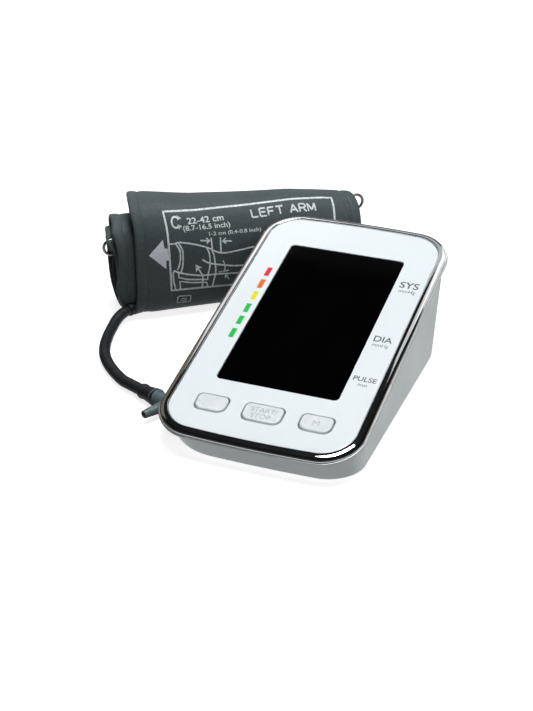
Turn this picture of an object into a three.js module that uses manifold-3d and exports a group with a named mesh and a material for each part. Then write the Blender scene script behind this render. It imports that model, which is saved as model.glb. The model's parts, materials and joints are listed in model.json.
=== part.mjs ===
// Upper arm blood pressure monitor: a wedge-shaped desk unit, and beside it the rolled cuff with its air hose.
// Units are millimetres and +Z is up. X runs across the desk unit, Y from its front edge to its back.
import * as THREE from "three";
import { mergeVertices } from "three/addons/utils/BufferGeometryUtils.js";
import Module from "manifold-3d";

const wasm = await Module();
wasm.setup();

// ---------------------------------------------------------------- driving dimensions
// The desk unit is drawn from its front edge; ORIGIN_SHIFT moves the whole object over its own footprint.
const ORIGIN_SHIFT = [46.478, -118.124, 0];
const GAP = 0.3;

// Sloping face: a plane that rises towards the back.
const FACE_TILT = THREE.MathUtils.degToRad(15);
const FACE_HEIGHT = 15.4;
const PLATE_HALF_WIDTH = 48.4;
const PLATE_HALF_LENGTH = 85.6;
const PLATE_MID = 89.8;
const PLATE_CORNER = 15.2;
const END_BOW = 2;
const PLATE_THICKNESS = 2.2;
const RING_WIDTH = 4.3;
const RING_DROP = 2.2;
const FLANGE_OVERHANG = 5.2;
const FLANGE_TOP = -2.5;
const FLANGE_BOTTOM = -3.4;
const DECK_TOP = -2.5;
const DECK_BOTTOM = -4.2;
const SKIRT_BOTTOM = -5.2;

// Lower case: a tub whose walls draw in towards the table.
const CASE_BOTTOM = 0.8;
const CASE_FLOOR = 3.8;
const CASE_TOP = -3.7;
const CASE_TOP_OFFSET = 4.4;
const CASE_WALL = 2.2;
const BASE_HALF_WIDTH = 49.8;
const BASE_FRONT = 6.2;
const BASE_BACK = 169.8;

const LCD = { width: 64.9, length: 111.3, mid: 96.2, corner: 2.5 };
const BUTTON_PROUD = 0.9;
const BUTTONS = [
  { name: "set_button", x: -27.2, y: 23.1, width: 16.6, length: 11 },
  { name: "start_stop_button", x: 0, y: 22.6, width: 20.4, length: 11.8 },
  { name: "memory_button", x: 27.4, y: 23.1, width: 16.6, length: 11 },
];

const BOARD_TOP = -12.4;
const BOARD_BOTTOM = -14;
const DOOR = { halfWidth: 32.6, front: 110, back: 168.8, bottom: 0.9, top: 2.7 };
const BAY = { halfWidth: 30.6, front: 111, back: 166.6, bottom: 3, top: 18.6, wall: 1.8 };
const CELL = { radius: 7.1, length: 50.4, pitch: 15, height: 10.6 };
const FEET = [[-38, 22], [38, 22], [-40, 158], [40, 158]];
const SCREWS = [[-41, 47], [41, 47], [-41, 122], [41, 122]];
const SOCKET = { y: 70, z: 15, tip: -57, seat: -44, bore: 3.1, radius: 5.5 };
const PUMP = { y: 156, z: 33.6, radius: 11 };

// Rolled cuff: a slightly conical flat roll, standing on its long edge behind the desk unit.
const CUFF_PLACE = [-130.2, 140.2, 0];
const CUFF_TURN = THREE.MathUtils.degToRad(37.4);
const CUFF_LENGTH = 136;
const CUFF_LEFT = { thick: 21.4, tall: 35.6 };
const CUFF_RIGHT = { thick: 17.6, tall: 29.3 };
const OVAL_POWER = 2.4;
const CORE_SHIFT = -11;

// Arm bar: the long wire loop that the cuff is threaded through.
const BAR = { left: [-16.8, -9, 44.3], right: [140.5, -2, 49.5], height: 11, wire: 2.2 };

// Air hose, from the bladder's outlet to the elbow connector, lying on the table.
const HOSE_DIAMETER = 6.3;
const HOSE_STEPS = 14;
const OUTLET = { x: -126.2, y: 132.1, z: 6.3, heading: THREE.MathUtils.degToRad(250), inside: 12, outside: 6 };
const HOSE_ROUTE = [
  [-128.36, 126.14, 6.3], [-129.1, 124, 6.2], [-130.1, 119.5, 5.5], [-130, 114, 4.5], [-128.8, 108, 3.7],
  [-126.7, 101.2, 3.3], [-124, 94.3, 3.3], [-120.6, 87.2, 3.3], [-116.2, 79.9, 3.3], [-110.9, 73, 3.3],
  [-104.7, 66.6, 3.3], [-98.3, 60.6, 3.35], [-92.6, 55.5, 3.6], [-88, 52.45, 4.05], [-84.6, 50.78, 4.28],
];
const ELBOW = { corner: [-58.8, 38.2, 5.3], heading: THREE.MathUtils.degToRad(-26), reach: 11.4, nozzle: 15.8 };
const SLEEVE_LENGTH = 17;

// ---------------------------------------------------------------- materials
// Each finish is its colour, roughness and metalness.
const FINISHES = {
  whiteGloss: ["#e6ecf2", 0.15, 0],
  chrome: ["#c9cdd0", 0.08, 1],
  silverPaint: ["#9da2a5", 0.35, 0.5],
  blackGlass: ["#050506", 0.05, 0],
  buttonPlastic: ["#d3dadd", 0.3, 0],
  greyPlastic: ["#5b6b70", 0.5, 0],
  whitePlastic: ["#d9dcdc", 0.5, 0],
  blackRubber: ["#161a1d", 0.75, 0],
  slateFabric: ["#3e4749", 0.9, 0],
  bladderRubber: ["#3a3d40", 0.7, 0],
  steel: ["#a9a9a6", 0.3, 1],
  brass: ["#b4995a", 0.35, 1],
  boardGreen: ["#1f5a3a", 0.5, 0],
  chipBlack: ["#17181a", 0.5, 0],
  cellWrap: ["#3a5f86", 0.35, 0.2],
  tubeSilicone: ["#c7c9c4", 0.5, 0],
};

function finish(name) {
  const [color, roughness, metalness] = FINISHES[name];
  return new THREE.MeshStandardMaterial({ name, color, roughness, metalness });
}

function piece(parent, name, geometry, finishName) {
  const mesh = new THREE.Mesh(geometry, finish(finishName));
  mesh.name = name;
  parent.add(mesh);
  return mesh;
}

// ---------------------------------------------------------------- solids: joining and cutting
function toSolid(geometry) {
  const bare = geometry.clone();
  bare.deleteAttribute("normal");
  bare.deleteAttribute("uv");
  const merged = mergeVertices(bare, 1e-4);
  const mesh = new wasm.Mesh({
    numProp: 3,
    vertProperties: new Float32Array(merged.attributes.position.array),
    triVerts: new Uint32Array(merged.index.array),
  });
  return new wasm.Manifold(mesh);
}

function toGeometry(solid) {
  const mesh = solid.getMesh();
  const geometry = new THREE.BufferGeometry();
  geometry.setAttribute("position", new THREE.BufferAttribute(new Float32Array(mesh.vertProperties), 3));
  geometry.setIndex(new THREE.BufferAttribute(new Uint32Array(mesh.triVerts), 1));
  geometry.computeVertexNormals();
  return geometry;
}

function cut(base, ...tools) {
  return toGeometry(tools.reduce((solid, tool) => solid.subtract(toSolid(tool)), toSolid(base)));
}

function join(base, ...others) {
  return toGeometry(others.reduce((solid, other) => solid.add(toSolid(other)), toSolid(base)));
}

function overlap(first, second) {
  return toGeometry(toSolid(first).intersect(toSolid(second)));
}

// ---------------------------------------------------------------- basic shapes
function box(x0, x1, y0, y1, z0, z1) {
  const geometry = new THREE.BoxGeometry(x1 - x0, y1 - y0, z1 - z0);
  return geometry.translate((x0 + x1) / 2, (y0 + y1) / 2, (z0 + z1) / 2);
}

// A round bar between two points, with its own radius at each end.
function rod(start, end, startRadius, endRadius = startRadius, sides = 16) {
  const from = new THREE.Vector3(...start);
  const along = new THREE.Vector3(...end).sub(from);
  const geometry = new THREE.CylinderGeometry(endRadius, startRadius, along.length(), sides);
  const turn = new THREE.Quaternion().setFromUnitVectors(new THREE.Vector3(0, 1, 0), along.clone().normalize());
  geometry.translate(0, along.length() / 2, 0);
  return geometry.applyQuaternion(turn).translate(...start);
}

function prism(shape, low, high) {
  const geometry = new THREE.ExtrudeGeometry(shape, { depth: high - low, bevelEnabled: false, curveSegments: 6 });
  return geometry.translate(0, 0, low);
}

function roundedRectangle(x, y, width, length, radiusBack, radiusFront = radiusBack) {
  const shape = new THREE.Shape();
  const [left, right, front, back] = [x - width / 2, x + width / 2, y - length / 2, y + length / 2];
  shape.absarc(right - radiusBack, back - radiusBack, radiusBack, 0, Math.PI / 2);
  shape.absarc(left + radiusBack, back - radiusBack, radiusBack, Math.PI / 2, Math.PI);
  shape.absarc(left + radiusFront, front + radiusFront, radiusFront, Math.PI, Math.PI * 1.5);
  shape.absarc(right - radiusFront, front + radiusFront, radiusFront, Math.PI * 1.5, Math.PI * 2);
  return shape;
}

function tube(points, diameter, sides, steps) {
  const path = new THREE.CatmullRomCurve3(points.map((point) => new THREE.Vector3(...point)), false, "centripetal");
  const section = new THREE.Shape();
  for (let side = 0; side < sides; side += 1) {
    const angle = (side / sides) * Math.PI * 2;
    const corner = [Math.cos(angle) * diameter / 2, Math.sin(angle) * diameter / 2];
    if (side === 0) section.moveTo(...corner);
    else section.lineTo(...corner);
  }
  return new THREE.ExtrudeGeometry(section, { steps, extrudePath: path, bevelEnabled: false });
}

// ---------------------------------------------------------------- outline of the desk unit
// A rounded rectangle about its own middle; the short ends bow outwards.
function outlinePoints(offset) {
  const halfWidth = PLATE_HALF_WIDTH + offset;
  const halfLength = PLATE_HALF_LENGTH + offset - END_BOW;
  const radius = PLATE_CORNER + offset;
  const cornerSteps = 6;
  const endSteps = 4;
  const points = [];
  for (let corner = 0; corner < 4; corner += 1) {
    const middleX = (corner === 0 || corner === 3 ? 1 : -1) * (halfWidth - radius);
    const middleY = (corner < 2 ? 1 : -1) * (halfLength - radius);
    for (let step = 0; step <= cornerSteps; step += 1) {
      const angle = (corner + step / cornerSteps) * Math.PI / 2;
      points.push([middleX + radius * Math.cos(angle), middleY + radius * Math.sin(angle)]);
    }
    if (corner % 2 === 0) {
      for (let step = 1; step < endSteps; step += 1) {
        points.push([middleX * (1 - 2 * step / endSteps), Math.sign(middleY) * halfLength]);
      }
    }
  }
  return points.map(([x, y]) => {
    const intoCorner = Math.max(0, (Math.abs(y) - (halfLength - radius)) / radius);
    const bow = END_BOW * intoCorner * (1 - (x / halfWidth) ** 2);
    return new THREE.Vector2(x, y + Math.sign(y) * bow);
  });
}

function outline(offset) {
  return new THREE.Shape(outlinePoints(offset).map((point) => point.add(new THREE.Vector2(0, PLATE_MID))));
}

function outlineRing(outer, inner) {
  const shape = outline(outer);
  shape.holes.push(new THREE.Path(outline(inner).getPoints()));
  return shape;
}

const face = new THREE.Group();
face.position.set(0, 0, FACE_HEIGHT);
face.rotation.x = FACE_TILT;
face.updateMatrix();

function onFace(x, y, height) {
  return new THREE.Vector3(x, y, height).applyMatrix4(face.matrix);
}

// A solid between a level outline near the table and the same outline on the sloping plane.
function wedge(topOffset, topHeight, baseInset, baseHeight) {
  const shape = new THREE.Shape(outlinePoints(topOffset));
  const geometry = new THREE.ExtrudeGeometry(shape, { depth: 1, bevelEnabled: false });
  const position = geometry.attributes.position;
  const widthScale = (BASE_HALF_WIDTH - baseInset) / (PLATE_HALF_WIDTH + topOffset);
  const lengthScale = ((BASE_BACK - BASE_FRONT) / 2 - baseInset) / (PLATE_HALF_LENGTH + topOffset);
  const baseMiddle = (BASE_BACK + BASE_FRONT) / 2;
  for (let index = 0; index < position.count; index += 1) {
    const [x, y, level] = [position.getX(index), position.getY(index), position.getZ(index)];
    const low = new THREE.Vector3(x * widthScale, baseMiddle + y * lengthScale, baseHeight);
    const point = low.lerp(onFace(x, PLATE_MID + y, topHeight), level);
    position.setXYZ(index, point.x, point.y, point.z);
  }
  return geometry;
}

// ---------------------------------------------------------------- desk unit: shells
function buttonHole(button, clearance, low, high) {
  const shape = roundedRectangle(button.x, button.y, button.width + clearance, button.length + clearance, 3, 4.6);
  return prism(shape, low, high);
}

function facePlate() {
  const holes = BUTTONS.map((button) => buttonHole(button, 0.8, -9, 1));
  holes.push(prism(roundedRectangle(0, LCD.mid, LCD.width, LCD.length, LCD.corner), -9, 1));
  return cut(prism(outline(0), -PLATE_THICKNESS, 0), ...holes);
}

function lcdWindow() {
  const shape = roundedRectangle(0, LCD.mid, LCD.width - 2 * GAP, LCD.length - 2 * GAP, LCD.corner);
  return prism(shape, -PLATE_THICKNESS, -0.2);
}

function trimRing() {
  return prism(outlineRing(GAP + RING_WIDTH, GAP), -RING_DROP, 0.3);
}

function upperCase() {
  const deck = prism(outline(-GAP), DECK_BOTTOM, DECK_TOP);
  const skirt = prism(outlineRing(-GAP, -2.3), SKIRT_BOTTOM, DECK_TOP - 0.4);
  const flange = prism(outlineRing(FLANGE_OVERHANG, -2.3), FLANGE_BOTTOM, FLANGE_TOP);
  const holes = BUTTONS.map((button) => buttonHole(button, 0.8, -9, 1));
  holes.push(prism(roundedRectangle(0, LCD.mid, LCD.width - 4, LCD.length - 4, LCD.corner), -9, 1));
  return cut(join(deck, skirt, flange), ...holes);
}

function lowerCase() {
  const outside = wedge(CASE_TOP_OFFSET, CASE_TOP, 0, CASE_BOTTOM);
  const inside = wedge(CASE_TOP_OFFSET - CASE_WALL, 1, CASE_WALL, CASE_FLOOR);
  const bayOuter = box(
    -BAY.halfWidth - BAY.wall, BAY.halfWidth + BAY.wall,
    BAY.front - BAY.wall, BAY.back + BAY.wall, CASE_FLOOR - 1, BAY.top + BAY.wall,
  );
  const bosses = SCREWS.map(([x, y]) => rod([x, y, CASE_FLOOR - 1], [x, y, 11.5], 4));
  const bayInner = box(-BAY.halfWidth, BAY.halfWidth, BAY.front, BAY.back, 0, BAY.top);
  const doorSlot = box(
    -DOOR.halfWidth - 0.4, DOOR.halfWidth + 0.4, DOOR.front - 0.4, BASE_BACK + 10, 0, DOOR.top + GAP,
  );
  const footSeats = FEET.map(([x, y]) => rod([x, y, 0], [x, y, 2.3], 5.3));
  const screwHoles = SCREWS.flatMap(([x, y]) => [
    rod([x, y, 0], [x, y, 3.6], 2.9),
    rod([x, y, 3], [x, y, 12], 1.7),
  ]);
  const socketInner = [SOCKET.seat + 2, SOCKET.y, SOCKET.z];
  const socketHole = rod([SOCKET.tip, SOCKET.y, SOCKET.z], socketInner, SOCKET.radius + GAP);
  const shell = join(cut(outside, inside), bayOuter, ...bosses);
  return cut(shell, bayInner, doorSlot, ...footSeats, ...screwHoles, socketHole);
}

function batteryDoor() {
  const plate = box(-DOOR.halfWidth, DOOR.halfWidth, DOOR.front, DOOR.back, DOOR.bottom, DOOR.top);
  const grips = [0, 1, 2, 3].map((row) => box(-9, 9, 150 + row * 3, 151.2 + row * 3, 0, DOOR.bottom + 0.5));
  return cut(plate, ...grips);
}

// A key cap with the collar that keeps it behind the plate, and the stem that reaches its switch.
function keyCap(button) {
  const cap = prism(roundedRectangle(0, 0, button.width, button.length, 3, 4.6), -5.2, BUTTON_PROUD);
  const collar = prism(roundedRectangle(0, 0, button.width + 2.4, button.length + 2.4, 3), -6, -4.9);
  const stem = rod([0, 0, -9.1], [0, 0, -5.5], 2, 2, 12);
  return join(cap, collar, stem);
}

// ---------------------------------------------------------------- desk unit: electronics on the sloping board
function sensorBody() {
  const can = box(-24, -16, 92, 100, -19.3, BOARD_BOTTOM - GAP);
  return join(can, rod([-22, 96, -16.8], [-27.5, 96, -16.8], 1.3, 1.3, 10));
}

function addElectronics(parent) {
  piece(parent, "lcd_module", box(-34, 34, LCD.mid - 57, LCD.mid + 57, -9.6, -5), "chipBlack");
  piece(parent, "main_board", box(-38, 38, 14, 108, BOARD_BOTTOM, BOARD_TOP), "boardGreen");
  piece(parent, "microcontroller", box(-7, 7, 63, 77, -15.7, BOARD_BOTTOM - GAP), "chipBlack");
  piece(parent, "buzzer", rod([-22, 60, -18.3], [-22, 60, BOARD_BOTTOM - GAP], 6), "chipBlack");
  piece(parent, "pressure_sensor", sensorBody(), "whitePlastic");
  for (const [index, button] of BUTTONS.entries()) {
    const body = box(button.x - 3, button.x + 3, button.y - 3, button.y + 3, BOARD_TOP + GAP, -10.8);
    const plunger = rod([button.x, button.y, -11], [button.x, button.y, -10.2], 1.6, 1.6, 10);
    piece(parent, `tact_switch_${index + 1}`, join(body, plunger), "chipBlack");
  }
}

// ---------------------------------------------------------------- desk unit: pump, valve and air line
function addAirSystem(parent) {
  const { y, z, radius } = PUMP;
  const motorBore = rod([-12, y, z], [-3, y, z], 1.6, 1.6, 12);
  piece(parent, "pump_motor", cut(rod([-11.7, y, z], [20, y, z], radius, radius, 20), motorBore), "steel");

  const headShell = join(rod([-28, y, z], [-12, y, z], 10.5, 10.5, 20), rod([-32, y, z], [-27, y, z], 2, 2, 10));
  piece(parent, "pump_head", cut(headShell, rod([-25, y, z], [-11, y, z], 7.6, 7.6, 20)), "whitePlastic");
  const shaft = rod([-20, 0, 0], [-4, 0, 0], 1.3, 1.3, 12);
  const crank = rod([-23, 0, -1.4], [-17, 0, -1.4], 4.6, 4.6, 16);
  const rotor = piece(parent, "pump_crank", join(shaft, crank), "steel");
  rotor.position.set(0, y, z);

  const valveBore = rod([-15, 125, 27], [-5, 125, 27], 2.6, 2.6, 12);
  const valveShell = join(box(-20, -6, 119, 131, 21, 33), rod([-22, 125, 27], [-19, 125, 27], 1.6, 1.6, 10));
  piece(parent, "valve_body", cut(valveShell, valveBore), "steel");
  piece(parent, "valve_plunger", rod([-13.8, 125, 27], [-3.4, 125, 27], 2, 2, 12), "brass");

  const manifold = join(
    box(-46, -34, 120, 132, 22, 30),
    rod([-43, 118, 26], [-43, 121, 26], 1.6, 1.6, 10),
    rod([-37, 118, 26], [-37, 121, 26], 1.6, 1.6, 10),
    rod([-40, 131, 26], [-40, 134, 26], 1.6, 1.6, 10),
    rod([-35, 125, 27], [-32, 125, 27], 1.6, 1.6, 10),
  );
  piece(parent, "air_manifold", manifold, "whitePlastic");

  const socketOuter = join(
    rod([SOCKET.tip, SOCKET.y, SOCKET.z], [SOCKET.seat, SOCKET.y, SOCKET.z], SOCKET.radius, SOCKET.radius, 20),
    rod([SOCKET.seat - 1, SOCKET.y, SOCKET.z], [-40.5, SOCKET.y, SOCKET.z], 1.8, 1.8, 10),
  );
  const socketBore = rod(
    [SOCKET.tip - 1, SOCKET.y, SOCKET.z], [SOCKET.seat - 2, SOCKET.y, SOCKET.z], SOCKET.bore, SOCKET.bore, 20,
  );
  piece(parent, "air_socket", cut(socketOuter, socketBore), "greyPlastic");

  const tubes = {
    socket_tube: [
      [-40.1, 70, 15], [-38.6, 70, 15], [-36.4, 72, 15], [-36.4, 78, 15.6], [-41, 95, 19.5], [-43, 110, 25.4],
      [-43, 115, 26], [-43, 117.6, 26],
    ],
    sensor_tube: [
      onFace(-27.9, 96, -16.8).toArray(), onFace(-29.5, 96, -16.8).toArray(), [-34, 99, 24.2], [-36.8, 106, 25],
      [-37, 115, 26], [-37, 117.6, 26],
    ],
    pump_tube: [
      [-40, 134.4, 26], [-40, 136.5, 26], [-41.5, 147, 29], [-40.5, 153.5, 32.6], [-36.5, 156, 33.6],
      [-34.5, 156, 33.6], [-32.4, 156, 33.6],
    ],
    valve_tube: [[-31.7, 125, 27], [-27, 125, 27], [-22.3, 125, 27]],
  };
  for (const [name, points] of Object.entries(tubes)) {
    piece(parent, name, tube(points, 4, 8, 4 * (points.length - 1)), "tubeSilicone");
  }
}

// ---------------------------------------------------------------- desk unit: batteries
// A conical contact spring along Y, drawn from its plate towards the cell.
function contactSpring(x, plateY, towards) {
  const turns = 2;
  const points = [];
  for (let step = 0; step <= 12 * turns; step += 1) {
    const part = step / (12 * turns);
    const angle = part * turns * Math.PI * 2;
    const radius = 4 - 1.6 * part;
    const [across, up] = [radius * Math.cos(angle), radius * Math.sin(angle)];
    points.push([x + across, plateY + towards * (0.7 + 2 * part), CELL.height + up]);
  }
  return tube(points, 0.7, 5, 24 * turns / 2);
}

function contactPlate(y0, y1) {
  return box(-BAY.halfWidth + 0.6, BAY.halfWidth - 0.6, y0, y1, BAY.bottom + 0.8, BAY.top - 0.6);
}

function addBatteries(parent) {
  piece(parent, "battery_contact_front", contactPlate(BAY.front + GAP, BAY.front + 0.7), "steel");
  piece(parent, "battery_contact_rear", contactPlate(BAY.back - 0.7, BAY.back - GAP), "steel");
  for (let cell = 0; cell < 4; cell += 1) {
    const x = (cell - 1.5) * CELL.pitch;
    const turned = cell % 2 === 1;
    const negativeEnd = turned ? BAY.back - 0.7 : BAY.front + 0.7;
    const towards = turned ? -1 : 1;
    const bottom = negativeEnd + towards * 3.4;
    const shoulder = bottom + towards * (CELL.length - 1.2);
    const top = bottom + towards * CELL.length;
    const body = rod([x, bottom, CELL.height], [x, shoulder, CELL.height], CELL.radius, CELL.radius, 20);
    const button = rod([x, shoulder - towards, CELL.height], [x, top, CELL.height], 2.7, 2.7, 12);
    piece(parent, `battery_${cell + 1}`, join(body, button), "cellWrap");
    piece(parent, `battery_spring_${cell + 1}`, contactSpring(x, negativeEnd, towards), "steel");
  }
}

function addFeetAndScrews(parent) {
  for (const [index, [x, y]] of FEET.entries()) {
    piece(parent, `foot_${index + 1}`, rod([x, y, 0], [x, y, 2], 5, 5, 20), "blackRubber");
  }
  for (const [index, [x, y]] of SCREWS.entries()) {
    const screw = join(rod([x, y, 1.2], [x, y, 3.3], 2.5, 2.5, 12), rod([x, y, 3], [x, y, 11], 1.35, 1.35, 10));
    piece(parent, `case_screw_${index + 1}`, screw, "steel");
  }
}

// ---------------------------------------------------------------- rolled cuff
// An oval loft along the roll, swept along X; inset thins it evenly and the sizes run on past the ends.
function ovalLoft(start, end, inset, leftSize = CUFF_LEFT, rightSize = CUFF_RIGHT) {
  const points = [];
  const count = 28;
  for (let index = 0; index < count; index += 1) {
    const angle = ((index + 0.5) / count) * Math.PI * 2;
    const [cosine, sine] = [Math.cos(angle), Math.sin(angle)];
    points.push(new THREE.Vector2(
      Math.sign(cosine) * Math.abs(cosine) ** (2 / OVAL_POWER),
      Math.sign(sine) * Math.abs(sine) ** (2 / OVAL_POWER),
    ));
  }
  const geometry = new THREE.ExtrudeGeometry(new THREE.Shape(points), { depth: 1, bevelEnabled: false });
  const position = geometry.attributes.position;
  for (let index = 0; index < position.count; index += 1) {
    const along = start + (end - start) * position.getZ(index);
    const share = along / CUFF_LENGTH;
    const thick = THREE.MathUtils.lerp(leftSize.thick, rightSize.thick, share) - inset;
    const tall = THREE.MathUtils.lerp(leftSize.tall, rightSize.tall, share) - inset;
    const middle = THREE.MathUtils.lerp(CUFF_LEFT.tall, CUFF_RIGHT.tall, share);
    position.setXYZ(index, along, position.getX(index) * thick, middle + position.getY(index) * tall);
  }
  return geometry;
}

function barPose(geometry) {
  const left = new THREE.Vector3(...BAR.left);
  const along = new THREE.Vector3(...BAR.right).sub(left);
  geometry.rotateX(Math.PI / 2);
  geometry.rotateY(-Math.atan2(along.z, Math.hypot(along.x, along.y)));
  geometry.rotateZ(Math.atan2(along.y, along.x));
  return geometry.translate(...left.addScaledVector(along, 0.5).toArray());
}

function barLength() {
  return new THREE.Vector3(...BAR.left).distanceTo(new THREE.Vector3(...BAR.right));
}

function armBar() {
  const length = barLength();
  const shape = roundedRectangle(0, 0, length, BAR.height, BAR.height / 2);
  const innerHeight = BAR.height - 2 * BAR.wire;
  const hole = roundedRectangle(0, 0, length - 2 * BAR.wire, innerHeight, innerHeight / 2);
  shape.holes.push(new THREE.Path(hole.getPoints(6)));
  return barPose(prism(shape, -BAR.wire / 2, BAR.wire / 2));
}

function outletPoint(distance) {
  const { x, y, z, heading } = OUTLET;
  return [x + distance * Math.cos(heading), y + distance * Math.sin(heading), z];
}

// Table coordinates to the cuff's own frame.
function toCuff(geometry) {
  return geometry.translate(...CUFF_PLACE.map((value) => -value)).rotateZ(-CUFF_TURN);
}

function addCuff(parent) {
  const cuff = new THREE.Group();
  cuff.position.set(...CUFF_PLACE);
  cuff.rotation.z = CUFF_TURN;
  parent.add(cuff);

  const barSlot = () => barPose(prism(roundedRectangle(0, 0, barLength() + 20, BAR.height + 1.4, 1), -1.6, 1.6));
  const outletBore = () => toCuff(rod(outletPoint(-OUTLET.inside - GAP), outletPoint(20), 4.9));
  const wrapInset = 6.5;
  const wrap = cut(ovalLoft(0, CUFF_LENGTH, 0), ovalLoft(-5, CUFF_LENGTH + 5, wrapInset), barSlot(), outletBore());
  piece(cuff, "cuff_wrap", wrap, "slateFabric");

  const back = box(-50, 200, 3, 40, -5, 90);
  const bladder = overlap(cut(ovalLoft(6, 128, wrapInset + GAP), ovalLoft(0, 140, wrapInset + 2.3)), back);
  piece(cuff, "air_bladder", bladder, "bladderRubber");

  const patchSpace = box(30, 120, -40, -5, 20, 42);
  const patch = overlap(cut(ovalLoft(30, 120, wrapInset + GAP), ovalLoft(20, 130, wrapInset + 1.6)), patchSpace);
  piece(cuff, "hook_patch", patch, "blackRubber");

  const hollow = ovalLoft(-20, 150, 0, { thick: 3.2, tall: 10 }, { thick: 2.2, tall: 9 });
  const core = cut(ovalLoft(CORE_SHIFT, CUFF_LENGTH + CORE_SHIFT, wrapInset + 2.6), hollow, barSlot(), outletBore());
  piece(cuff, "cuff_core", core, "slateFabric");
  piece(cuff, "arm_bar", armBar(), "steel");
}

// ---------------------------------------------------------------- hose and connector
function elbowPoint(along, across = 0, up = 0) {
  const { corner, heading } = ELBOW;
  return [
    corner[0] + along * Math.cos(heading) + across * Math.sin(heading),
    corner[1] + along * Math.sin(heading) - across * Math.cos(heading),
    corner[2] + up,
  ];
}

function elbowConnector() {
  const collar = rod(elbowPoint(-ELBOW.reach + GAP), elbowPoint(-7.6), 4.7);
  const barrel = rod(elbowPoint(-8), elbowPoint(2.6), 4.1);
  const nozzle = rod(elbowPoint(0), elbowPoint(0, ELBOW.nozzle), 3, 2.1);
  const bore = rod(elbowPoint(0, ELBOW.nozzle - 8), elbowPoint(0, ELBOW.nozzle + 1), 1.25, 1.25, 12);
  const finCorners = [[0, -3], [5, -3.6], [5, -8.6], [0, -9.4]];
  const finShape = new THREE.Shape(finCorners.map((pair) => new THREE.Vector2(...pair)));
  const fin = prism(finShape, -2.6, 0.4).rotateZ(ELBOW.heading).translate(...ELBOW.corner);
  return cut(join(collar, barrel, nozzle, fin), bore);
}

function addHose(parent) {
  const outlet = rod(outletPoint(-OUTLET.inside), outletPoint(OUTLET.outside), 4.6, 3.6);
  piece(parent, "hose_outlet", outlet, "blackRubber");
  const sleeveEnd = elbowPoint(-ELBOW.reach);
  const sleeveStart = elbowPoint(-ELBOW.reach - SLEEVE_LENGTH, 0, -1.0);
  piece(parent, "air_hose", tube(HOSE_ROUTE, HOSE_DIAMETER, 10, HOSE_STEPS), "blackRubber");
  piece(parent, "hose_sleeve", rod(sleeveStart, sleeveEnd, 3.5, 4.8), "blackRubber");
  piece(parent, "elbow_connector", elbowConnector(), "greyPlastic");
}

// ---------------------------------------------------------------- assembly
const monitor = new THREE.Group();
monitor.position.set(...ORIGIN_SHIFT);
monitor.add(face);

piece(face, "face_plate", facePlate(), "whiteGloss");
piece(face, "lcd_window", lcdWindow(), "blackGlass");
piece(face, "trim_ring", trimRing(), "chrome");
piece(face, "upper_case", upperCase(), "silverPaint");
for (const button of BUTTONS) {
  const cap = piece(face, button.name, keyCap(button), "buttonPlastic");
  cap.position.set(button.x, button.y, 0);
}
addElectronics(face);

piece(monitor, "lower_case", lowerCase(), "silverPaint");
piece(monitor, "battery_door", batteryDoor(), "silverPaint");
addAirSystem(monitor);
addBatteries(monitor);
addFeetAndScrews(monitor);
addCuff(monitor);
addHose(monitor);

const part = new THREE.Group();
part.add(monitor);
export default part;
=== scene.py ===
import json
import math

import bmesh
import bpy
import numpy as np
from mathutils import Matrix, Vector, noise
from mathutils.geometry import tessellate_polygon


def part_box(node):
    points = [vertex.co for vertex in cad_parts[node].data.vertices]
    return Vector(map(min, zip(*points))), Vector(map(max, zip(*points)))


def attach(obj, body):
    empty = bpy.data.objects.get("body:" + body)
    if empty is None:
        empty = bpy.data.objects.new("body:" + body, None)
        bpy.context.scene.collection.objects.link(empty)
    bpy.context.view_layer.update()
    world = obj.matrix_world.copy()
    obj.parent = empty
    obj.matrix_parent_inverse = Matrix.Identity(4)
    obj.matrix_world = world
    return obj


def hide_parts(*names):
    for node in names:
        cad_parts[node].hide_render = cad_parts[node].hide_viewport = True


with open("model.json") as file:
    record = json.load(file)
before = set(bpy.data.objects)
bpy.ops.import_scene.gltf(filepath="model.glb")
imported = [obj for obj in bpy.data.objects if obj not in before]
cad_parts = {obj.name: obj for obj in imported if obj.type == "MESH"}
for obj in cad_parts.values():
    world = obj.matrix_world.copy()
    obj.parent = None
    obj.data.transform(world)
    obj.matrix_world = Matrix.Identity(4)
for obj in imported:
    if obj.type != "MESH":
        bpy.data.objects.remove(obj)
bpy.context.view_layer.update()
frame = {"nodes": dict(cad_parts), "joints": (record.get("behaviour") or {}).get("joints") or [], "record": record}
SCENE = bpy.context.scene
MM = 0.001

# ---- places, all taken from the frame
FOOT_LOW, FOOT_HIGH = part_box("foot_1")
PLATE_LOW, PLATE_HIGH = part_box("face_plate")
DESK = Vector(((PLATE_LOW.x + PLATE_HIGH.x) / 2, (FOOT_LOW.y + FOOT_HIGH.y) / 2 - 22 * MM, FOOT_LOW.z))


def desk(x, y, z):
    """A point given in millimetres from the middle of the desk unit's front edge, on the table."""
    return DESK + Vector((x, y, z)) * MM


PRESS_AXIS = next(j["axis"] for j in frame["joints"] if j["name"] == "press_set")
TILT = math.atan2(PRESS_AXIS[1], -PRESS_AXIS[2])
FACE_HEIGHT = 15.4
FACE_TURN = Matrix.Rotation(TILT, 4, "X")
DESK_PLACE = Matrix.Translation(DESK)
FACE_PLACE = Matrix.Translation(desk(0, 0, FACE_HEIGHT)) @ FACE_TURN
CUFF_PLACE = Matrix.Translation(desk(-130.2, 140.2, 0)) @ Matrix.Rotation(math.radians(37.4), 4, "Z")

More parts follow.
